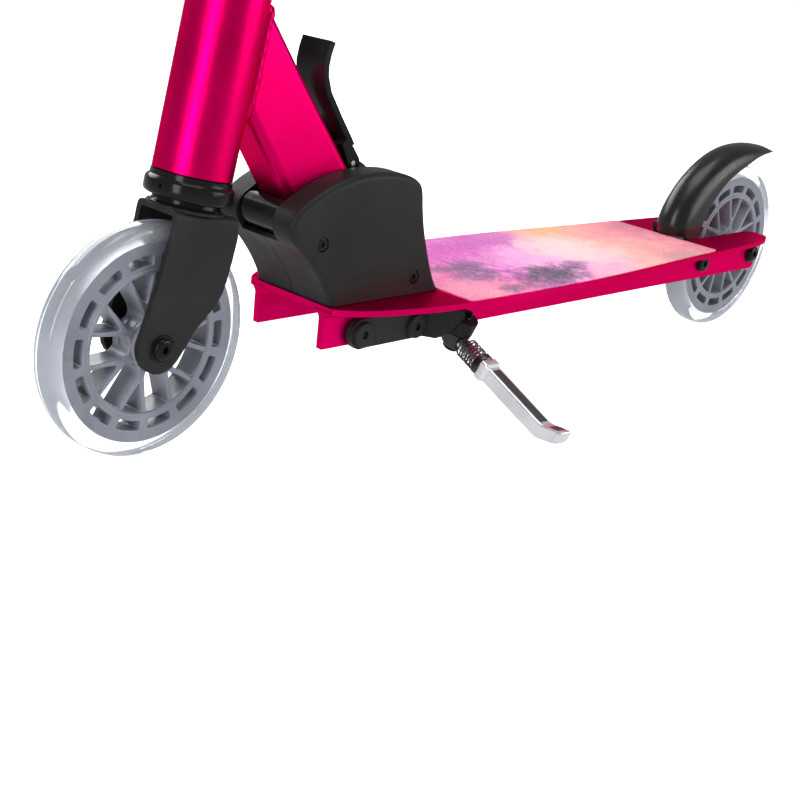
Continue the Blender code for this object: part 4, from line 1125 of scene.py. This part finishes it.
knuckle = lathe("kickstand_knuckle", [(3.4, -10.0), (8.2, -10.0), (8.8, -9.4), (8.8, 0.0),
                                      (8.2, 0.6), (3.4, 0.6)], STAND_AT, HINGE, SPRING, 60,
                closed=True)
put(knuckle, "kickstand", "kickstand_leg")
put(rod("kickstand_shank", MIDDLE + OUTWARD * 7, MIDDLE + OUTWARD * 35, 4.8, SILVER, 40),
    "kickstand", "kickstand_leg")
cap = [(4.7, 27.3), (7.6, 27.3), (8.2, 27.9), (8.2, 28.9), (7.5, 29.3), (7.5, 30.1), (8.2, 30.5),
       (8.2, 32.4), (7.6, 33.0), (4.7, 33.0)]
put(lathe("kickstand_cap", cap, MIDDLE, OUTWARD, SPRING, 60, closed=True), "kickstand",
    "kickstand_leg")
bars = [bar_section(t, half, lift) for t, half, lift in (
    (32.8, 6.7, 0), (33.3, 7.0, 0), (37.4, 7.0, 0), (38.2, 6.8, 0), (40.0, 5.8, 0),
    (41.0, 5.6, 0), (60, 5.6, 0), (94, 5.5, 0.1), (97, 5.5, 0.5), (99, 5.5, 1.1),
    (101, 5.4, 1.9), (104, 5.4, 3.3), (112.3, 5.3, 7.0))]
put(weigh(loft("kickstand_bar", bars, CAST, 50.0)), "kickstand", "kickstand_leg",
    "kickstand_leg")
# Rough cast strips sunk between the bright borders of the bar's upper face.
for name, start, end in (("bar_face", (42.5, 0.0), (94.5, 0.1)),
                         ("bar_tip_face", (103.0, 2.85), (111.5, 6.6))):
    strip = []
    for t, lift in (start, end):
        mid = MIDDLE + OUTWARD * t + Vector((0, 0, lift))
        strip.append([mid + SIDEWAY * a + HINGE * b for a, b in
                      ((-3.6, 4.8), (-3.6, 5.75), (3.6, 5.75), (3.6, 4.8))])
    put(loft(name, strip, CAST_FACE), "kickstand", "kickstand_leg")
foot = MIDDLE + OUTWARD * 112.4 + Vector((0, 0, 7.0))
pads = []
for step, half in ((0, 5.3), (1.4, 5.35), (3.6, 5.2), (4.6, 4.9), (5.0, 4.4)):
    centre = foot + OUTWARD * step + Vector((0, 0, 2.6 * step / 5))
    pads.append([centre + SIDEWAY * a + HINGE * b for a, b in
                 rounded(half, -half, half, 1.8, 4)])
put(weigh(loft("kickstand_foot_piece", pads, CAST)), "kickstand", "kickstand_foot",
    "kickstand_foot")
put(coil("kickstand_spring_piece", MIDDLE + OUTWARD * 9.9, OUTWARD, 7.4, 0.6, 5.6, 17.0,
         SPRING), "kickstand", "kickstand_spring", "kickstand_spring")

# ---- Column, clamp and handlebar ----
turned("column_tube_piece", [(14.6, 241.0), (16.6, 241.0), (COLUMN_R, 241.4),
                             (COLUMN_R, 559.6), (16.6, 560.0), (14.6, 560.0)], FORK, "steering",
       "column_tube", "column_tube")
finer("column_collar", FORK, 0.7, 3, 30.0)
finer("height_clamp", GLOSS, 0.8, 3, 30.0)
finer("quick_release_lever", GLOSS, 0.8, 3, 35.0)
finer("quick_release_bolt", STEEL, 0.4, 2, 30.0)
for index, s in enumerate((256.0, 274.0)):
    node = "collar_bolt_%d" % (index + 1)
    put(socket_head(node + "_piece", col(EAR_U, 9.3, s), Y, 4.3, 4.0, STEEL, 2.0, 2.3, 0.6, 0,
                    21.0, 2.5), "steering", node, node)
turned("handlebar_piece", [(12.4, 400), (13.8, 400), (TBAR_R, 400.4), (TBAR_R, BAR_S - 1),
                           (12.4, BAR_S - 1)], SILVER, "handlebar", "handlebar", "handlebar")
put(lathe("crossbar", [(9.2, -197.0), (10.7, -197.0), (BAR_R, -196.6), (BAR_R, 196.6),
                       (10.7, 197.0), (9.2, 197.0)], col(0, 0, BAR_S), Y, SILVER, 80,
          closed=True), "handlebar", "handlebar")
joint = []
for k in range(96):
    ang = 2 * pi * k / 96
    u, v = TBAR_R * cos(ang), TBAR_R * sin(ang)
    drop = sqrt(max(BAR_R ** 2 - u * u, 0.0)) if abs(u) < BAR_R else 0.0
    joint.append(col(u, v, BAR_S - drop))
put(tube_along("handlebar_weld", joint, [1.2 + 0.2 * sin(k * 1.7) for k in range(96)], SILVER, 8,
               closed=True), "handlebar", "handlebar")
for side, node in ((1, "grip_left"), (-1, "grip_right")):
    inner = 86.0
    profile = [(11.3, inner), (18.2, inner), (19.0, inner + 0.8), (19.0, inner + 2.4),
               (18.2, inner + 3.2), (16.2, inner + 4.4), (15.7, inner + 6.0)]
    ribs = 15
    for k in range(ribs):
        start = inner + 10.0 + k * 6.0
        swell = 15.7 + 0.9 * sin(pi * (k + 0.5) / ribs)
        profile += [(swell, start), (swell - 0.8, start + 0.5), (swell - 0.8, start + 1.5),
                    (swell, start + 2.0), (swell + 0.12, start + 4.0)]
    profile += [(16.2, 192.5), (17.2, 194.0), (17.4, 196.0), (17.2, 198.4), (16.2, 199.6),
                (15.0, BAR_HALF), (6.0, BAR_HALF), (5.4, 199.2), (0, 199.2)]
    put(lathe(node + "_piece", profile, col(0, 0, BAR_S), (0, side, 0), RUBBER, 72, sharp=40.0),
        "handlebar", node, node)

# ---- Floor, light and camera ----
SIZE = 14.0
GLOW_BELOW, GLOW_ABOVE = 0.78, 0.3
floor_mesh = bpy.data.meshes.new("floor")
floor_mesh.from_pydata([(-SIZE, -SIZE, -0.0005), (SIZE, -SIZE, -0.0005), (SIZE, SIZE, -0.0005),
                        (-SIZE, SIZE, -0.0005)], [], [(0, 1, 2, 3)])
floor_mesh.materials.append(pale_floor())
floor = bpy.data.objects.new("floor", floor_mesh)
bpy.context.scene.collection.objects.link(floor)
floor.visible_glossy = False

world = bpy.data.worlds.new("studio")
bpy.context.scene.world = world
world.use_nodes = True
world.node_tree.nodes["Background"].inputs["Color"].default_value = (1.0, 1.0, 1.0, 1.0)
# Only reflections see the world below the horizon, since the floor is hidden from them.
nodes, links = world.node_tree.nodes, world.node_tree.links
split = nodes.new("ShaderNodeSeparateXYZ")
below = nodes.new("ShaderNodeMapRange")
for key, value in (("From Min", -0.25), ("From Max", 0.1), ("To Min", GLOW_BELOW),
                   ("To Max", GLOW_ABOVE)):
    below.inputs[key].default_value = value
links.new(nodes.new("ShaderNodeTexCoord").outputs["Generated"], split.inputs[0])
links.new(split.outputs["Z"], below.inputs["Value"])
links.new(below.outputs["Result"], nodes["Background"].inputs["Strength"])


def softbox(name, at, aim, wide, tall, power):
    light = bpy.data.lights.new(name, "AREA")
    light.shape = "RECTANGLE"
    light.size, light.size_y = wide, tall
    light.energy = power
    obj = bpy.data.objects.new(name, light)
    obj.location = at
    obj.rotation_euler = (Vector(aim) - Vector(at)).to_track_quat("-Z", "Y").to_euler()
    bpy.context.scene.collection.objects.link(obj)


CENTRE = (0.05, 0.0, 0.15)
softbox("front_strip", (2.0, 0.6, 0.8), CENTRE, 0.6, 1.7, 27.0)
softbox("side_box", (-1.35, 1.65, 0.7), CENTRE, 1.5, 1.2, 26.0)
softbox("overhead", (-0.1, 0.1, 2.3), CENTRE, 1.7, 1.2, 26.0)
softbox("rear_fill", (0.0, -1.95, 1.25), CENTRE, 2.2, 1.0, 40.0)

CAMERA_AT = Vector((0.84310, 0.65997, 0.34766))
RIGHT = Vector((-0.707284, 0.697739, 0.113626))
DOWNWARD = Vector((0.165134, 0.319353, -0.933137))
FORWARD = Vector((-0.687372, -0.641229, -0.341094))
LENS, SENSOR = 66.143, 36.0
SHIFT_X, SHIFT_Y = 0.06533, 0.00857
camera_data = bpy.data.cameras.new("camera")
camera_data.sensor_width = SENSOR
camera_data.lens = LENS
camera_data.shift_x, camera_data.shift_y = SHIFT_X, SHIFT_Y
camera_data.clip_start = 0.02
camera = bpy.data.objects.new("camera", camera_data)
turn = Matrix((RIGHT, -DOWNWARD, -FORWARD)).transposed().to_4x4()
camera.matrix_world = Matrix.Translation(CAMERA_AT) @ turn
bpy.context.scene.collection.objects.link(camera)
bpy.context.scene.camera = camera
bpy.context.scene.view_settings.view_transform = "Standard"
